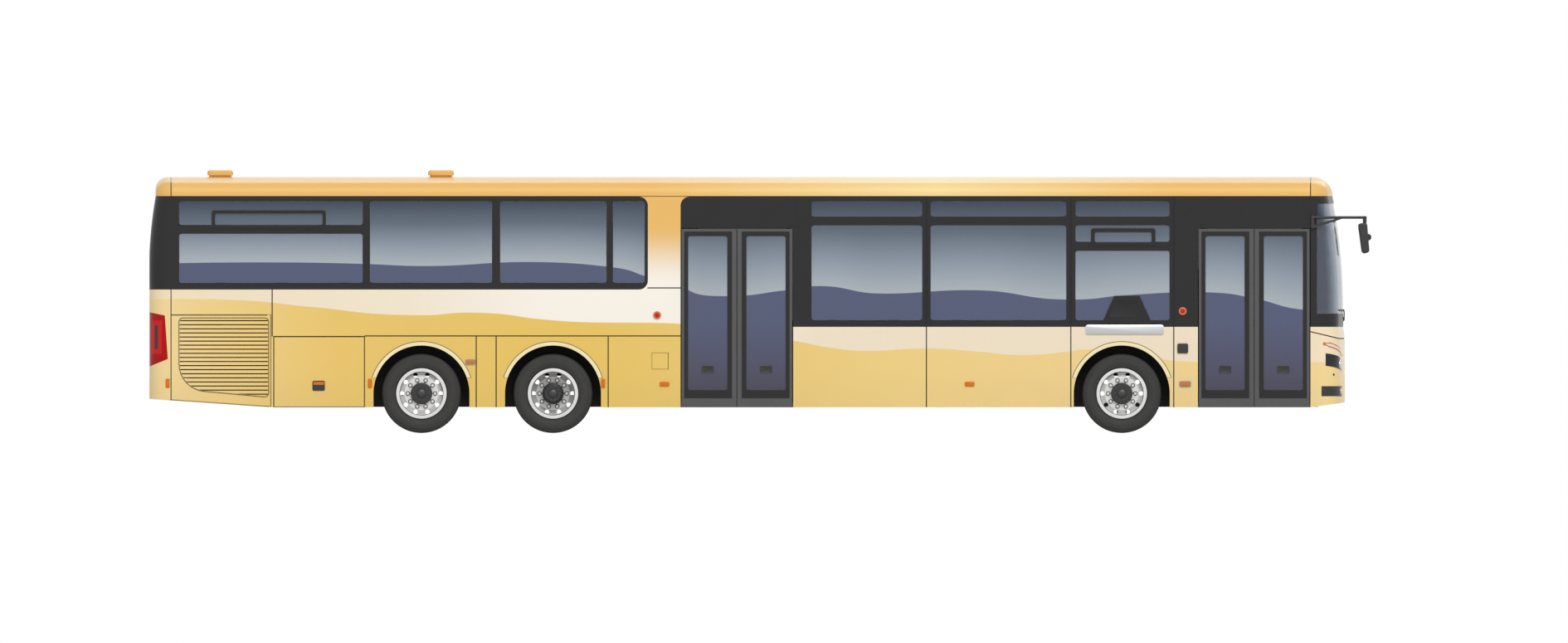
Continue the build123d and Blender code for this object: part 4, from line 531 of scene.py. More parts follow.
# Two-tone enamel: a wave with a soft sprayed edge of 12 mm, posts shading up to the roof's tan, and
# 8 mm orange peel drawn coarse to show. The gloss is low, so that the colours stay full at the ends.
ENAMEL_GLOSS = {"Coat Weight": 0.07, "Coat Roughness": 0.08, "Specular IOR Level": 0.13}
livery_enamel, tree, shader, where = start_material("two_tone_enamel", ENAMEL_GLOSS)
share, height = along_body(tree, where)
above = reckon(tree, "SUBTRACT", height, wave_height(tree, share, LIVERY_WAVE, WAVE_Z))
tone = spread(tree, above, -WAVE_EDGE, WAVE_EDGE)
two_tone = blend(tree, tone, colours(tree, share, YELLOW_STOPS), colours(tree, share, CREAM_STOPS))
shaded = blend(tree, spread(tree, height, *PILLAR_Z, kind="SMOOTHSTEP"), two_tone, linear(TAN))
lacquer(tree, shader, where, seam_lines(tree, where, shaded, [("X", REAR_SEAM_X, SEAM_HALF)]))
# Sealant: matt black, so that each joint reads as a thin dark line.
joint_sealant = mottled("joint_sealant_black", {}, "#2A2827", "#1C1B1B", 60, 4, 0.2, 0.6)
# Arch lips: the same lacquer, coloured pale cream as a painted highlight along the rolled edge.
lip_painted_highlight = mottled("cream_enamel_painted_highlight", ENAMEL_GLOSS, "#F6E8C2", "#F1DFAE", 300, 8, 0.04, 0.3)
# Cabin lining: pale laminate glued to the inside of walls and roof, with a fine 4 mm emboss.
lining = mottled("laminate_lining_pale", {}, "#CBCBC6", "#C0C0BB", 300, 4, 0.15, 0.55)
# Moulded plastic of lamp boxes, handles and mirror heads: soft black with a 3 mm eroded grain.
box_black = mottled("moulded_abs_black", {}, "#2A2A2B", "#1D1D1E", 60, 3, 0.2, 0.5)

WALL_FACE = 1.275
GROOVE_DEPTH = 0.010
FLUSH = 0.0005
EDGE_ON = 0.5
for name in ("side_wall_left", "side_wall_right"):
    dress(name, livery_enamel, joint_sealant, lip_painted_highlight, lining)
    points = nodes[name].data.vertices
    for face in nodes[name].data.polygons:
        depths = [WALL_FACE - abs(points[index].co.y) for index in face.vertices]
        in_groove = min(depths) > -FLUSH and FLUSH < max(depths) < GROOVE_DEPTH + FLUSH
        if in_groove or abs(face.normal.y) < EDGE_ON:
            face.material_index = 1
        # Faces proud of the wall, the rolled arch lips, take the pale cream painted highlight.
        elif max(depths) < -FLUSH:
            face.material_index = 2
        elif face.normal.y * face.center.y < 0:
            face.material_index = 3


def paint(name, index, wanted):
    """Give another of a node's materials to the faces that a test accepts."""
    for face in nodes[name].data.polygons:
        if wanted(face):
            face.material_index = index


dress("rear_shell", livery_enamel)
for name, axis in (("engine_lid", 0), ("filler_flap", 1), ("radiator_flap", 1)):
    dress(name, livery_enamel, joint_sealant)
    paint(name, 1, lambda face: abs(face.normal[axis]) < EDGE_ON)
dress("service_flap", livery_enamel, box_black)
paint("service_flap", 1, lambda face: abs(face.normal.y) < EDGE_ON or face.center.y < -WALL_FACE - FLUSH)

RIM_Z = (1.248, 1.165)
RIM_REACH = 0.347
RIM_GROOVE = 0.014
RIM_SLACK = 0.0008


def in_rim_joint(place):
    """True for a point within the joint that falls round the mask under its rim."""
    share = min(max((place.x - FRONT_SEAM_X) / RIM_REACH, 0.0), 1.0)
    top = RIM_Z[0] + share * (RIM_Z[1] - RIM_Z[0])
    return top - RIM_GROOVE - RIM_SLACK < place.z < top + RIM_SLACK


dress("front_mask", livery_enamel, joint_sealant)
points = nodes["front_mask"].data.vertices
paint("front_mask", 1, lambda face: all(in_rim_joint(points[index].co) for index in face.vertices))


def rounded_sheet(name, middle, size, corner):
    """Flat sheet that faces the door side with rounded corners, left open in edit mode."""
    piece = start_sheet(name, middle, size)
    bpy.ops.mesh.bevel(offset=corner, segments=4, affect="VERTICES")
    take_all()
    return piece


def plate(name, middle, size, corner, proud, rim, sunk):
    """Moulded plate: stood proud of what it sits on, its face within the rim sunk or raised."""
    piece = rounded_sheet(name, middle, size, corner)
    draw_out((0, -proud, 0))
    bpy.ops.mesh.inset(thickness=rim)
    bpy.ops.transform.translate(value=(0, sunk, 0))
    close_edit()
    return piece


def outline(name, grow):
    """Low and high corner (x, z) of a node seen from the side, moved out by so much."""
    low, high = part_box(name)
    return (low.x - grow, low.z - grow), (high.x + grow, high.z + grow)


def pane_frame(name, inner, outer, face, corner, proud):
    """Flat frame round a pane: rounded inside, square outside, closed all round."""
    (x0, z0), (x1, z1) = inner
    middle = ((x0 + x1) / 2, face, (z0 + z1) / 2)
    piece = rounded_sheet(name, middle, (x1 - x0, z1 - z0), corner)
    bpy.ops.mesh.delete(type="ONLY_FACE")
    take_all()
    draw_out((0, -proud, 0))
    draw_out((0, -0.5, 0))

    def in_quarter(point):
        """True for a point drawn far out in the quarter that goes to one outer corner."""
        place = point.co
        here = (place.x < middle[0]) == left and (place.z < middle[2]) == below
        return here and place.y < face - 0.25

    def outside(point):
        """True for a point beyond the pane's opening."""
        place = point.co
        return not (x0 - 1e-4 < place.x < x1 + 1e-4 and z0 - 1e-4 < place.z < z1 + 1e-4)

    for x, left in ((outer[0][0], True), (outer[1][0], False)):
        for z, below in ((outer[0][1], True), (outer[1][1], False)):
            pick(piece, "VERT", in_quarter)
            bpy.ops.transform.resize(value=(0, 0, 0), center_override=(x, face - proud, z))
    merge_points()
    pick(piece, "VERT", outside)
    draw_out((0, proud, 0))
    bpy.ops.mesh.select_all(action="DESELECT")
    bpy.ops.mesh.select_non_manifold()
    bpy.ops.mesh.bridge_edge_loops()
    close_edit()
    return piece


# Trim bar: a plain aluminium extrusion riveted over the front arch.
# Brushed along its length in 2 mm lines, it draws a streak of light across the panel.
bar_brushed, tree, shader, where = start_material("aluminium_brushed", {"Metallic": 0.9, "Anisotropic": 0.4})
along = add_node(tree, "Mapping", {"Vector": where, "Scale": (2.5, 500, 500)}).outputs["Vector"]
mottle(tree, shader, along, "#DEDFE0", "#C3C5C7", 1000, 1000, 0.1, 0.35)
trim_bar = plate("wall_trim_bar", (4.46, -WALL_FACE, 1.265), (0.96, 0.12), 0.03, 0.010, 0.010, -0.004)
settle(trim_bar, "body", bar_brushed)

# Arch beads: sealant run by hand round each rolled lip, down to where the lip meets the skirt.
BEAD_OUTLINE = [(0.004, 0.631), (-0.003, 0.631), (-0.004, 0.635), (-0.003, 0.639), (0.004, 0.639)]
BEAD_FOOT_Z = 0.680
ACROSS = Matrix.Scale(-1, 4, (0, 1, 0))
arcs = []
for place in ("front_right", "drive_right", "tag_right"):
    centre = wheel_axis(place)
    centre.y = -WALL_FACE
    arc = turned("arc", BEAD_OUTLINE, centre, 96)
    mode("EDIT")
    take_all()
    bpy.ops.mesh.bisect(plane_co=(0, 0, BEAD_FOOT_Z), plane_no=(0, 0, 1), use_fill=True, clear_inner=True)
    close_edit()
    arcs.append(arc)
arcs += [copy_piece(arc, ACROSS) for arc in arcs]
settle(join("arch_beads", arcs), "body", joint_sealant)

# Louvre bead: a rubber frame pressed round the louvres, which sweeps up at the lower rear corner.
# Its corners are arcs of (x, z, radius, first and last angle).
LOUVRE_ARCS = [
    (-6.782, 0.847, 0.342, 180, 264.8),
    (-6.070, 0.491, 0.052, 264.8, 360),
    (-6.070, 1.362, 0.052, 0, 90),
    (-7.072, 1.362, 0.052, 90, 180),
]
ARC_STEPS = 8
LOUVRE_BEAD = (0.008, 0.004)
path = []
for x, z, radius, first, last in LOUVRE_ARCS:
    for step in range(ARC_STEPS + 1):
        turn = math.radians(first + (last - first) * step / ARC_STEPS)
        path.append(Vector((x + radius * math.cos(turn), -WALL_FACE, z + radius * math.sin(turn))))
louvre_bead = start_point("louvre_bead", path[0])
for before, after in zip(path, path[1:]):
    draw_out(after - before)
take_all()
bpy.ops.mesh.edge_face_add()
bpy.ops.mesh.inset(thickness=LOUVRE_BEAD[0])
bpy.ops.mesh.delete(type="FACE")
take_all()
draw_out((0, -LOUVRE_BEAD[1], 0))
close_edit()
settle(louvre_bead, "radiator_flap", joint_sealant)

# Flap seals: rubber strips glued all round the service flap, and along the radiator flap's head.
SEAL_IN = 0.001
SEAL_STRIP = 0.008
SEAL_PROUD = 0.0015
HEAD_SEAL_SHORT = 0.045
seal_inner = outline("service_flap", -SEAL_IN - SEAL_STRIP)
seal_outer = outline("service_flap", -SEAL_IN)
flap_seal = pane_frame("service_flap_seal", seal_inner, seal_outer, -WALL_FACE, 0.004, SEAL_PROUD)
settle(flap_seal, "service_flap", joint_sealant)
low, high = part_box("radiator_flap")
length = high.x - low.x - HEAD_SEAL_SHORT
middle = (low.x + SEAL_IN + length / 2, -WALL_FACE, high.z - SEAL_IN - SEAL_STRIP / 2)
head_seal = plate("radiator_flap_seal", middle, (length, SEAL_STRIP), 0.002, SEAL_PROUD, 0.002, 0.0005)
settle(head_seal, "radiator_flap", joint_sealant)

# Roof, roof caps and ventilators
# A glued aluminium roof skin with moulded caps at both ends and two plastic ventilator hoods, all
# sprayed warm tan, with a painted highlight that lightens it over the middle of the bus.
# Painted highlight: the tan stops lighten to pale gold over the middle of the bus's length.
TAN_HIGHLIGHT_STOPS = [(0.0, "#E9BA6C"), (0.42, TAN), (0.66, "#F4D899"), (0.86, TAN), (1.0, "#EBBD70")]
roof_enamel, tree, shader, where = start_material("tan_enamel_painted_highlight", ENAMEL_GLOSS)
tan = colours(tree, along_body(tree, where)[0], TAN_HIGHLIGHT_STOPS)
seams = [("X", REAR_SEAM_X, SEAM_HALF), ("X", FRONT_SEAM_X, SEAM_HALF), ("Z", ROOF_SEAM_Z, 0.008)]
lacquer(tree, shader, where, seam_lines(tree, where, tan, seams))
for name in ("roof", "roof_caps", "roof_vents"):
    dress(name, roof_enamel, lining)
paint("roof", 1, lambda face: face.normal.z < -0.3)

# Window bands, windscreen frame and rear frame
# Glass-fibre panels sprayed black, glued to the posts. Their even, satin black lets posts and panes
# read as one dark band. A screwed cover with a leaning edge stands at the foot of the band.
band_gloss = {"Coat Weight": 0.06, "Coat Roughness": 0.1, "Specular IOR Level": 0.15}
band_enamel = mottled("band_enamel_black", band_gloss, "#2D2D2E", "#29292A", 400, 8, 0.04, 0.35)
for name in ("window_bands", "windscreen_frame", "rear_frame"):
    dress(name, band_enamel)
BAND_FACE = 1.283
HATCH_LEAN = 0.065
hatch = plate("cover_hatch", (4.444, -BAND_FACE, 1.5265), (0.352, 0.199), 0.012, 0.003, 0.008, 0.002)
pick(hatch, "VERT", lambda point: point.co.x < 4.35 and point.co.z > 1.55)
bpy.ops.transform.translate(value=(HATCH_LEAN, 0, 0))
mode("OBJECT")
settle(hatch, "body", band_enamel)

# Side, door and rear glass
# Grey-blue tinted safety glass with painted reflections: darker towards the head and lighter lower
# down, and a darker violet-blue painted reflection in a long wave over the foot of the panes. It lets
# through only a little of the cabin.
REFLECTION_WAVE_Z = (1.4, 2.4)
GLASS_HEAD_Z = 2.835
REFLECTION_BAND_Z = (0.5, 1.9)
REFLECTION_BAND_EDGE = 0.004
RIPPLE_DEPTH = 0.02
LEAVES = ("mid_rear", "mid_front", "front_rear", "front_front")
REFLECTION_WAVE = [
    (0.000, 0.675), (0.110, 0.690), (0.180, 0.672), (0.230, 0.645), (0.320, 0.695), (0.385, 0.635),
    (0.415, 0.520), (0.448, 0.370), (0.475, 0.278), (0.530, 0.345), (0.560, 0.400), (0.610, 0.310),
    (0.690, 0.350), (0.770, 0.235), (0.815, 0.286), (0.880, 0.325), (0.925, 0.245), (0.965, 0.112),
    (1.000, 0.080),
]
# Painted reflections: dark at the head of the panes to light at the wave, then a violet-blue band under the
# wave.
REFLECTION_FALL_STOPS = [(0.0, "#3C4658"), (0.35, "#647080"), (0.7, "#93A0AE"), (1.0, "#B4BCC4")]
REFLECTION_BAND_STOPS = [(0.0, "#4B4858"), (0.3, "#52556F"), (0.6, "#575E7D"), (1.0, "#565E7C")]
# Tinted glass: painted reflections, a fall from dark at the head to light at the wave and a violet-blue
# band below it, with a faint 400 mm ripple in reflections.
glass_gloss = {"Roughness": 0.04, "Alpha": 0.86, "Specular IOR Level": 0.4}
tinted_glass, tree, shader, where = start_material("tinted_glass_painted_reflection", glass_gloss)
share, height = along_body(tree, where)
wave = wave_height(tree, share, REFLECTION_WAVE, REFLECTION_WAVE_Z)
pane = colours(tree, spread(tree, height, GLASS_HEAD_Z, wave), REFLECTION_FALL_STOPS)
painted_reflection_band = colours(tree, spread(tree, height, *REFLECTION_BAND_Z), REFLECTION_BAND_STOPS)
above_reflection_band = spread(tree, reckon(tree, "SUBTRACT", height, wave), -REFLECTION_BAND_EDGE, REFLECTION_BAND_EDGE)
tree.links.new(blend(tree, above_reflection_band, painted_reflection_band, pane), shader.inputs["Base Color"])
emboss(tree, shader, noise(tree, where, 400), RIPPLE_DEPTH)
for name in ("side_glass", "rear_window", *(f"door_glass_{leaf}" for leaf in LEAVES)):
    dress(name, tinted_glass)

# Windscreen
# One large bent pane of laminated glass, glued into its frame. Its colour carries a painted reflection,
# dark at the posts and lightest where the corners turn, and it is clear enough to show the cab.
SCREEN_HALF = 1.25
# Painted reflection across the screen: a painted highlight near each corner, then dark at the posts.
SCREEN_REFLECTION_STOPS = [
    (0.0, "#566272"), (0.5, "#6A7686"), (0.74, "#8F9BAB"),
    (0.88, "#A9B5C4"), (0.96, "#5F6B7E"), (0.985, "#3F495C"),
]
# Laminated glass: blue-grey, with a painted highlight down each corner and a faint 500 mm ripple.
screen_gloss = {"Roughness": 0.03, "Alpha": 0.55, "Specular IOR Level": 0.4}
screen_glass, tree, shader, where = start_material("laminated_glass_painted_reflection", screen_gloss)
across = reckon(tree, "ABSOLUTE", axes_of(tree, where)["Y"])
screen = colours(tree, spread(tree, across, 0.0, SCREEN_HALF), SCREEN_REFLECTION_STOPS)
tree.links.new(screen, shader.inputs["Base Color"])
emboss(tree, shader, noise(tree, where, 500), RIPPLE_DEPTH)
dress("windscreen", screen_glass)

# Wipers
# Two rubber blades at rest along the foot of the screen, each on a coated steel arm from a domed
# pivot below it.
BLADE_Y = [0.10, 0.25, 0.40, 0.55, 0.70, 0.82, 0.92, 1.00]
BLADE_Z = 1.505
BLADE_LIFT = 0.008
PIVOT = (0.16, 1.395, 1.0)
PIVOT_OUTLINE = [(0.0, 0.0), (-0.018, 0.0), (-0.016, 0.016), (-0.008, 0.024), (0.0, 0.026)]
ARM_LIFT = 0.011


def touch(node, y, z):
    """Place and outward direction where a line from the front meets a node."""
    hit = nodes[node].ray_cast(Vector((8.0, y, z)), Vector((-1, 0, 0)))
    return hit[1], hit[2]


def studs(profile, steps, node, spots):
    """Turned piece, modelled once and stood on both sides of a node at spots of (y, z, size)."""
    model = turned("stud_model", profile, Vector(), steps)
    made = []
    for y, z, size in spots:
        for side in (-1, 1):
            place, normal = touch(node, side * y, z)
            turn = Vector((0, -1, 0)).rotation_difference(normal).to_matrix().to_4x4()
            made.append(copy_piece(model, Matrix.Translation(place) @ turn @ Matrix.Scale(size, 4)))
    bpy.data.objects.remove(model)
    return made


def swept(name, path, width, height):
    """Bar of a small section drawn out along a path of places, finer at its end."""
    piece = start_sheet(name, path[0], (width, height), "FACE")
    for before, after in zip(path, path[1:]):
        draw_out(after - before)
    bpy.ops.transform.resize(value=(0.5, 1, 0.5), center_override=path[-1])
    close_edit()
    return piece


# Rubber and coated steel: matt black, dusty in 80 mm patches.
wiper_rubber = mottled("wiper_rubber_black", {}, "#242425", "#161617", 80, 3, 0.2, 0.6)
wiper_parts = []
for side in (-1, 1):
    rests = [touch("windscreen", side * y, BLADE_Z) for y in BLADE_Y]
    blade = [place + BLADE_LIFT * normal for place, normal in rests]
    foot, out = touch("windscreen_frame", side * PIVOT[0], PIVOT[1])
    knee = blade[1] + Vector((BLADE_LIFT, 0, -0.02))
    arm = [foot + ARM_LIFT * out, knee, blade[3] + Vector((BLADE_LIFT, 0, 0))]
    wiper_parts += [swept("blade", blade, 0.016, 0.022), swept("arm", arm, 0.012, 0.024)]
wiper_parts += studs(PIVOT_OUTLINE, 20, "windscreen_frame", [PIVOT])
settle(join("wipers", wiper_parts), "body", wiper_rubber)

# Door leaves and their arms
# Bonded aluminium leaves that swing out on turning pillars with two cranked arms each. Every leaf
# has a black frame round its pane, a push plate low on the glass and a seal on its meeting edge.
JAMB_STRIP = 0.033
MEET_STRIP = 0.054
KICK_STRIP = 0.105
PANE_EDGE = 0.003
PANE_CORNER = 0.030
PUSH_Z = 0.775
SEAL_WIDTH = 0.0045
SEAL_Y = -WALL_FACE + 0.039
# Powder coat: dark grey leaves with a fine 3 mm texture, and black arms that fade into the cabin.
door_coat = mottled("powder_coat_dark_grey", {}, "#4E4E4F", "#474748", 250, 3, 0.12, 0.45)
arm_coat = mottled("powder_coat_black", {}, "#2B2B2C", "#202021", 120, 3, 0.15, 0.5)
# Grey plastic: covers of the door drives, dashboard and partition, even and a little shiny.
trim_grey = mottled("moulded_abs_grey", {}, "#8C8F93", "#7E8185", 250, 3, 0.12, 0.5)
dress("door_drives", trim_grey)
for leaf in LEAVES:
    body = f"door_leaf_{leaf}"
    dress(body, door_coat)
    dress(f"door_arm_{leaf}", arm_coat)
    low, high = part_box(body)
    pane_low, pane_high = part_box(f"door_glass_{leaf}")
    strips, meet_x = (MEET_STRIP, JAMB_STRIP), low.x - SEAL_WIDTH / 2
    if leaf.endswith("rear"):
        strips, meet_x = (JAMB_STRIP, MEET_STRIP), high.x + SEAL_WIDTH / 2
    inner = outline(f"door_glass_{leaf}", PANE_EDGE)
    outer = ((low.x + strips[0], low.z + KICK_STRIP), (high.x - strips[1], high.z - JAMB_STRIP))
    glazing = pane_frame(f"glazing_frame_{leaf}", inner, outer, -WALL_FACE, PANE_CORNER, 0.004)
    settle(glazing, body, band_enamel)
    middle = ((pane_low.x + pane_high.x) / 2, pane_low.y, PUSH_Z)
    push_plate = plate(f"push_plate_{leaf}", middle, (0.150, 0.090), 0.014, 0.006, 0.016, 0.003)
    settle(push_plate, body, box_black)
    size = (SEAL_WIDTH, high.z - low.z - 0.03)
    middle = (meet_x, SEAL_Y, (low.z + high.z) / 2)
    seal = plate(f"meeting_seal_{leaf}", middle, size, 0.001, 0.036, 0.001, 0.0005)
    settle(seal, body, wiper_rubber)

# Headlamps
# Smoked polycarbonate units set flush in the nose, each with two projector eyes, a fog lamp below
# and a lamp strip above: a clear light guide 30 mm high in an amber rim 60 mm high.
STRIP_Y = 0.840
STRIP_Z = 0.9435
STRIP_SLOPE = 0.160 / 0.450
STRIP_FOOT = 0.0235
FOG_TOP_Z = 0.6
GUIDE_Y = [0.850, 0.930, 1.010, 1.080, 1.140, 1.190, 1.225, 1.250]
STRIP_DEPTH = 0.006
# Projector eyes as (y, z, size), and the outlines of their parts.
EYES = [(0.890, 0.812, 1.0), (1.020, 0.845, 1.0), (0.930, 0.512, 0.8)]
EYE_RING = [
    (0.004, 0.034), (-0.004, 0.034), (-0.008, 0.041), (-0.008, 0.046), (-0.003, 0.051), (0.004, 0.052),
]
EYE_DOME = [(0.004, 0.0), (-0.011, 0.0), (-0.009, 0.015), (-0.003, 0.028), (0.004, 0.035)]
PLUG_OUTLINE = [(0.004, 0.0), (-0.005, 0.0), (-0.004, 0.010), (0.0, 0.016), (0.004, 0.017)]
PLUG = (1.1785, 0.715, 1.0)
# Smoked lens: almost black, with faint 60 mm ribs that hint at the bowls behind it.
SMOKE_STOPS = [(0.0, "#0E0F11"), (0.75, "#1A1C1F"), (1.0, "#3A3E43")]
smoke_gloss = {"Roughness": 0.1, "Specular IOR Level": 0.3}
lamp_smoke, tree, shader, where = start_material("polycarbonate_smoked", smoke_gloss)
ribs = {"Vector": where, "Scale": 1000 / 60, "Distortion": 1.5}
rib = add_node(tree, "TexWave", ribs, bands_direction="Z").outputs["Fac"]
tree.links.new(colours(tree, rib, SMOKE_STOPS), shader.inputs["Base Color"])
# Clear-coloured lenses: red, amber and clear, glowing unevenly from the 6 mm prisms inside.
LENS_GLOSS = {"Coat Weight": 0.05, "Specular IOR Level": 0.15}
LENS_PRISMS = (30, 6, 0.3, 0.2)
red = mottled("acrylic_red", LENS_GLOSS, "#E02A22", "#B80E10", *LENS_PRISMS)
amber = mottled("acrylic_amber", LENS_GLOSS, "#E8852A", "#C25F12", *LENS_PRISMS)
clear = mottled("polycarbonate_clear", LENS_GLOSS, "#F0EEE8", "#CFCFCB", *LENS_PRISMS)
# Chromed rings: bright metal that rims each eye with a hard light.
chrome = mottled("reflector_chrome", {"Metallic": 1.0}, "#D5D8DB", "#AEB3B8", 25, 4, 0.05, 0.15)


def strip_z(y):
    """Height of the lamp strip's middle at a distance from the bus's middle."""
    return STRIP_Z + (y - STRIP_Y) * STRIP_SLOPE


dress("headlamps", lamp_smoke, amber, box_black)
paint("headlamps", 2, lambda face: face.center.z < FOG_TOP_Z)
paint("headlamps", 1, lambda face: face.center.z > strip_z(abs(face.center.y)) - STRIP_FOOT)


def lamp_strip(name, path, height, lift):
    """Narrow lens along a path on the nose, drawn in at both ends."""
    places = [place + lift * normal for place, normal in path]
    rise = Vector((0, 0, height))
    piece = start_point(name, places[0] - rise / 2)
    draw_out(rise)
    take_all()
    for before, after in zip(places, places[1:]):
        draw_out(after - before)
    for end in (places[0], places[-1]):
        pick(piece, "VERT", lambda point: (point.co - end).length < height * 0.55)
        bpy.ops.transform.resize(value=(1, 1, 0.4), center_override=end)
    close_edit()
    depth = piece.modifiers.new("depth", "SOLIDIFY")
    depth.thickness = STRIP_DEPTH
    depth.offset = 0.0
    bpy.ops.object.modifier_apply(modifier="depth")
    return piece


strip_rows = (("strip_rims", 0.060, 0.001, amber), ("strip_guides", 0.030, 0.004, clear))
for name, height, lift, finish in strip_rows:
    strips = []
    for side in (-1, 1):
        path = [touch("headlamps", side * y, strip_z(y)) for y in GUIDE_Y]
        strips.append(lamp_strip("strip", path, height, lift))
    settle(join(name, strips), "body", finish)
for name, profile, finish in (("lamp_rings", EYE_RING, chrome), ("lamp_domes", EYE_DOME, clear)):
    settle(join(name, studs(profile, 28, "headlamps", EYES)), "body", finish)
# Plugs: moulded covers pushed into the towing eyes beside the lamps.
plugs = studs(PLUG_OUTLINE, 20, "front_mask", [PLUG])
settle(join("nose_plugs", plugs), "body", box_black)

# Tail lamps
# Moulded acrylic lenses clipped into the tail corners: dark red, with a brighter block and a smoked
# slot down its middle, given as (x, half length, half height, colour).
TAIL_Z = 1.174
TAIL_BLOCKS = [(-7.391, 0.061, 0.204, "#CE1A1A"), (-7.399, 0.022, 0.150, "#4A3A3A")]
# Tail red: deep and even, so that the block shows as a second, lighter red.
tail_lens, tree, shader, where = start_material("acrylic_red_tail", LENS_GLOSS)
colour = mottle(tree, shader, where, "#B20A0A", "#A00606", *LENS_PRISMS)
axes = axes_of(tree, where)
for x, half_x, half_z, code in TAIL_BLOCKS:
    lengthways = reckon(tree, "COMPARE", axes["X"], x, half_x)
    upright = reckon(tree, "COMPARE", axes["Z"], TAIL_Z, half_z)
    colour = blend(tree, reckon(tree, "MULTIPLY", lengthways, upright), colour, linear(code))
tree.links.new(colour, shader.inputs["Base Color"])
dress("tail_lamps", tail_lens)

# Side markers, reflectors and door buttons
# Amber acrylic lenses screwed to the walls, two of them in grey frames, with a black socket and two
# red domed door buttons in orange rings on the door side.
# Markers as (x, z, length, height, framed); they are on both sides.
MARKERS = [
    (-3.551, 0.870, 0.122, 0.062, True),
    (-1.174, 0.600, 0.120, 0.056, False),
    (2.562, 0.600, 0.120, 0.056, False),
    (5.202, 0.600, 0.140, 0.070, True),
    (-4.781, 0.610, 0.050, 0.112, False),
    (-1.926, 0.610, 0.050, 0.112, False),
]
MARKER_FACE = 1.287
FRAME_EDGE = 0.028
BARE_EDGE = 0.006
SOCKET_Z = (0.97, 1.10)
BUTTONS = [(-1.265, 1.443), (5.172, 1.494)]
BUTTON_OUTLINE = [(0.0, 0.0), (-0.008, 0.0), (-0.006, 0.020), (-0.003, 0.027), (0.0, 0.029)]
# Orange plastic: a warm ring that sets the red dome off from the cream wall.
button_ring = mottled("moulded_abs_orange", {}, "#CE7A52", "#BE6A44", 30, 3, 0.15, 0.45)


def in_frame(face):
    """True for a face of a marker that sits in a grey frame."""
    place = face.center
    return any(framed and abs(place.x - x) < 0.1 and abs(place.z - z) < 0.06 for x, z, *_, framed in MARKERS)


dress("side_markers", amber, box_black, button_ring, trim_grey)
paint("side_markers", 1, lambda face: SOCKET_Z[0] < face.center.z < SOCKET_Z[1])
paint("side_markers", 2, lambda face: face.center.z > SOCKET_Z[1])
paint("side_markers", 3, in_frame)
lenses = []
for x, z, length, height, framed in MARKERS:
    edge = FRAME_EDGE if framed else BARE_EDGE
    size = (length - edge, height - edge)
    lenses.append(plate("lens", (x, -MARKER_FACE, z), size, 0.008, 0.003, 0.006, -0.002))
lenses.append(plate("lens", (-7.259, -1.273, 0.610), (0.050, 0.112), 0.012, 0.010, 0.006, -0.002))
lenses += [copy_piece(lens, ACROSS) for lens in lenses]
settle(join("marker_lenses", lenses), "body", amber)
domes = [turned("button", BUTTON_OUTLINE, Vector((x, -MARKER_FACE, z)), 28) for x, z in BUTTONS]
settle(join("button_domes", domes), "body", red)
middle = (-5.410, -BAND_FACE, 0.6075)
flap_strip = plate("flap_reflector", middle, (0.130, 0.035), 0.008, 0.003, 0.005, -0.001)
settle(flap_strip, "service_flap", amber)

# Mirrors
# Moulded housings of grained black plastic on two steel struts each, with a silvered glass clipped
# into the back of each housing.
MIRROR_PLACE = (7.341, 1.2925, 2.377)
MIRROR_LEAN = -7.9
dress("mirrors", box_black)
# Silvered glass: a cool mirror, smooth but for a trace of waviness.
mirror_silver = mottled("mirror_glass_silvered", {"Metallic": 1.0}, "#CDD2D7", "#BFC5CB", 200, 20, 0.01, 0.08)
mirror_model = plate("mirror_model", (0, 0, 0), (0.170, 0.320), 0.020, 0.004, 0.008, 0.002)
lean = Matrix.Rotation(math.radians(MIRROR_LEAN), 4, "Y") @ Matrix.Rotation(math.radians(-90), 4, "Z")
panes = []
for side in (-1, 1):
    stand = Matrix.Translation((MIRROR_PLACE[0], side * MIRROR_PLACE[1], MIRROR_PLACE[2]))
    panes.append(copy_piece(mirror_model, stand @ lean))
bpy.data.objects.remove(mirror_model)
settle(join("mirror_glass", panes), "body", mirror_silver)

# Seats, driver's place and grab poles
# Moulded seat shells on pedestals, a grey driver's platform with dashboard and partition, and
# steel poles bolted from floor to roof.
# Shell plastic: blue-grey and dull, so that the pads stand out on it.
seat_shell = mottled("moulded_shell_grey", {}, "#5B6068", "#50555D", 200, 3, 0.15, 0.5)
# Pole coat: strong yellow with a fine texture, easy to find for poor sight.
pole_coat = mottled("powder_coat_yellow", {}, "#E8B52C", "#DDA722", 80, 3, 0.1, 0.4)
dress("seats", seat_shell)
dress("driver_station", trim_grey)
dress("grab_poles", pole_coat)

# Seat pads
# Foam under wool moquette, sewn with one cross seam and glued into the shells. The cover is swollen
# between seam and edges by cloth pressure, then thinned and copied to every seat.
VOXEL = 0.006
HELD_Z = 0.008
SEAM_HALF_WIDTH = 0.005
PRESSURE = 4.0
SWELL_MAX = 0.012
SWELL_FRAMES = 20
KEPT_SHARE = 0.08
# Moquette: deep blue pile with a soft sheen and yellow flecks 24 mm apart.
moquette, tree, shader, where = start_material("wool_moquette_blue", {"Sheen Weight": 0.3, "Roughness": 0.9})
drift = mottle(tree, shader, where, "#3F5A8C", "#34496F", 120, 3, 0.5, 0.85)
fleck(tree, shader, where, drift, 24, (0.22, 0.30), "#D9B04A")


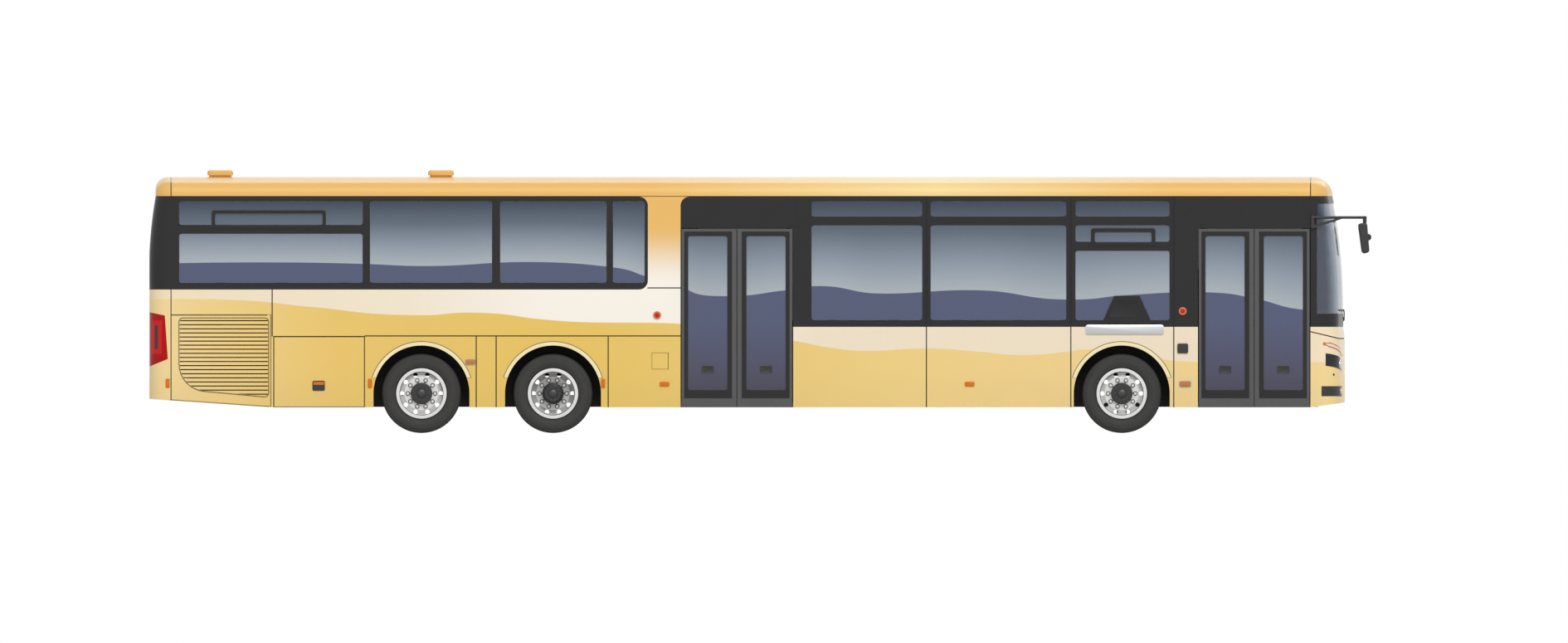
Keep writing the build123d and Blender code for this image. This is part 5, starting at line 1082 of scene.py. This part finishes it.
def swell(piece, seam_x):
    """Blow a cover up by cloth pressure, held at its back and seam, each point within a limit."""
    start = [point.co.copy() for point in piece.data.vertices]
    held = [i for i, co in enumerate(start) if co.z < HELD_Z or abs(co.x - seam_x) < SEAM_HALF_WIDTH]
    piece.vertex_groups.new(name="held").add(held, 1.0, "REPLACE")
    cloth = piece.modifiers.new("swell", "CLOTH")
    cloth.settings.use_pressure = True
    cloth.settings.uniform_pressure_force = PRESSURE
    cloth.settings.vertex_group_mass = "held"
    cloth.settings.effector_weights.gravity = 0.0
    cloth.point_cache.frame_start = 1
    cloth.point_cache.frame_end = SWELL_FRAMES
    for step in range(1, SWELL_FRAMES + 1):
        bpy.context.scene.frame_set(step)
    bpy.ops.object.modifier_apply(modifier="swell")
    bpy.context.scene.frame_set(1)
    for point, before in zip(piece.data.vertices, start):
        move = point.co - before
        point.co = before + move * min(1.0, SWELL_MAX / max(move.length, 1e-9))
    piece.vertex_groups.clear()


def seat_pad(name, size, seam_x):
    """Foam pad lying flat on its back, rounded at the edges, its cover swollen."""
    bpy.ops.mesh.primitive_cube_add(size=1.0, location=(0, 0, size[2] / 2))
    piece = bpy.context.object
    piece.name = piece.data.name = name
    piece.scale = size
    bpy.ops.object.transform_apply()
    mode("EDIT")
    take_all()
    bpy.ops.mesh.bevel(offset=size[2] * 0.4, segments=4, affect="EDGES")
    close_edit()
    remesh = piece.modifiers.new("cover", "REMESH")
    remesh.mode = "VOXEL"
    remesh.voxel_size = VOXEL
    bpy.ops.object.modifier_apply(modifier="cover")
    swell(piece, seam_x)
    thin = piece.modifiers.new("thin", "DECIMATE")
    thin.ratio = KEPT_SHARE
    bpy.ops.object.modifier_apply(modifier="thin")
    return piece


# Seats in pairs, by rows counted from one at x: (x, floor height, rows, sides).
ROW_STEP = 0.76
SEAT_ROWS = [
    (-6.583, 0.910, range(7), (-1, 1)),
    (0.937, 0.380, range(4), (-1, 1)),
    (0.937, 0.380, (-1, -2), (1,)),
]
SEAT_MIDDLES = (0.551, 0.994)
DRIVER_Y = 0.73
DRIVER_WIDER = Matrix.Diagonal((1.12, 1.10, 1.3, 1.0))
# Pads as (name, size, seam, place on the seat, lean, lean and place of the driver's).
PADS = [
    ("seat_cushions", (0.355, 0.400, 0.050), 0.060, (0.250, 0.4475), -2.26, 0, (5.902, DRIVER_Y, 1.000)),
    ("seat_backs", (0.540, 0.400, 0.042), -0.100, (0.005, 0.750), 79.94, 90, (5.717, DRIVER_Y, 1.375)),
]
for name, size, seam_x, place, lean, driver_lean, driver in PADS:
    pad = seat_pad(f"{name}_model", size, seam_x)
    tilt = Matrix.Rotation(math.radians(lean), 4, "Y")
    pads = []
    for x, floor_z, rows, sides in SEAT_ROWS:
        for row, side, middle in itertools.product(rows, sides, SEAT_MIDDLES):
            spot = Vector((x + row * ROW_STEP + place[0], side * middle, floor_z + place[1]))
            pads.append(copy_piece(pad, Matrix.Translation(spot) @ tilt))
    upright = Matrix.Rotation(math.radians(driver_lean), 4, "Y")
    pads.append(copy_piece(pad, Matrix.Translation(driver) @ upright @ DRIVER_WIDER))
    bpy.data.objects.remove(pad)
    settle(join(name, pads), "body", moquette)

# Studio: pale floor, soft light and a camera level with the side
# The camera is flat on, as in a builder's drawing, so that lengths on the side read true.
SKY_LIGHT = 0.47
SKY_SEEN = 1.0
SUN_SPREAD = math.radians(40)
SUNS = [("key_sun", 50, 12, 1.6), ("back_sun", -55, -20, 0.75)]
PIXEL = 0.01016
PICTURE_WIDTH = 1890
AIM = Vector((0.289, 0, 1.366))
CAMERA_AWAY = 40
# Studio floor: an even, matt near-white that carries only soft shadows.
studio_floor, tree, shader, where = start_material("studio_floor_pale", {"Roughness": 0.9})
shader.inputs["Base Color"].default_value = linear("#EDEDEB")
bpy.ops.mesh.primitive_plane_add(size=400, location=(0, 0, -0.002))
studio = bpy.context.object
studio.name = "studio_floor"
studio.data.materials.append(studio_floor)
studio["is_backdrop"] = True

world = bpy.data.worlds.new("studio_world")
bpy.context.scene.world = world
world.use_nodes = True
tree = world.node_tree
rays = add_node(tree, "LightPath", {}).outputs
seen = rays["Is Camera Ray"]
for ray in ("Is Glossy Ray", "Is Transmission Ray"):
    seen = reckon(tree, "MAXIMUM", seen, rays[ray])
background = tree.nodes["Background"]
background.inputs["Color"].default_value = (1.0, 1.0, 1.0, 1.0)
tree.links.new(spread(tree, seen, 0.0, 1.0, SKY_LIGHT, SKY_SEEN), background.inputs["Strength"])

for name, tip, turn, power in SUNS:
    lamp = bpy.data.lights.new(name, "SUN")
    lamp.energy = power
    lamp.angle = SUN_SPREAD
    sun = bpy.data.objects.new(name, lamp)
    sun.rotation_euler = (math.radians(tip), 0, math.radians(turn))
    bpy.context.collection.objects.link(sun)

camera = bpy.data.cameras.new("side_camera")
camera.type = "ORTHO"
camera.ortho_scale = PICTURE_WIDTH * PIXEL
camera.clip_end = 200
viewer = bpy.data.objects.new("side_camera", camera)
viewer.location = AIM - Vector((0, CAMERA_AWAY, 0))
viewer.rotation_euler = (math.radians(90), 0, 0)
bpy.context.collection.objects.link(viewer)
bpy.context.scene.camera = viewer
bpy.context.scene.view_settings.view_transform = "Standard"

low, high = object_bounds()
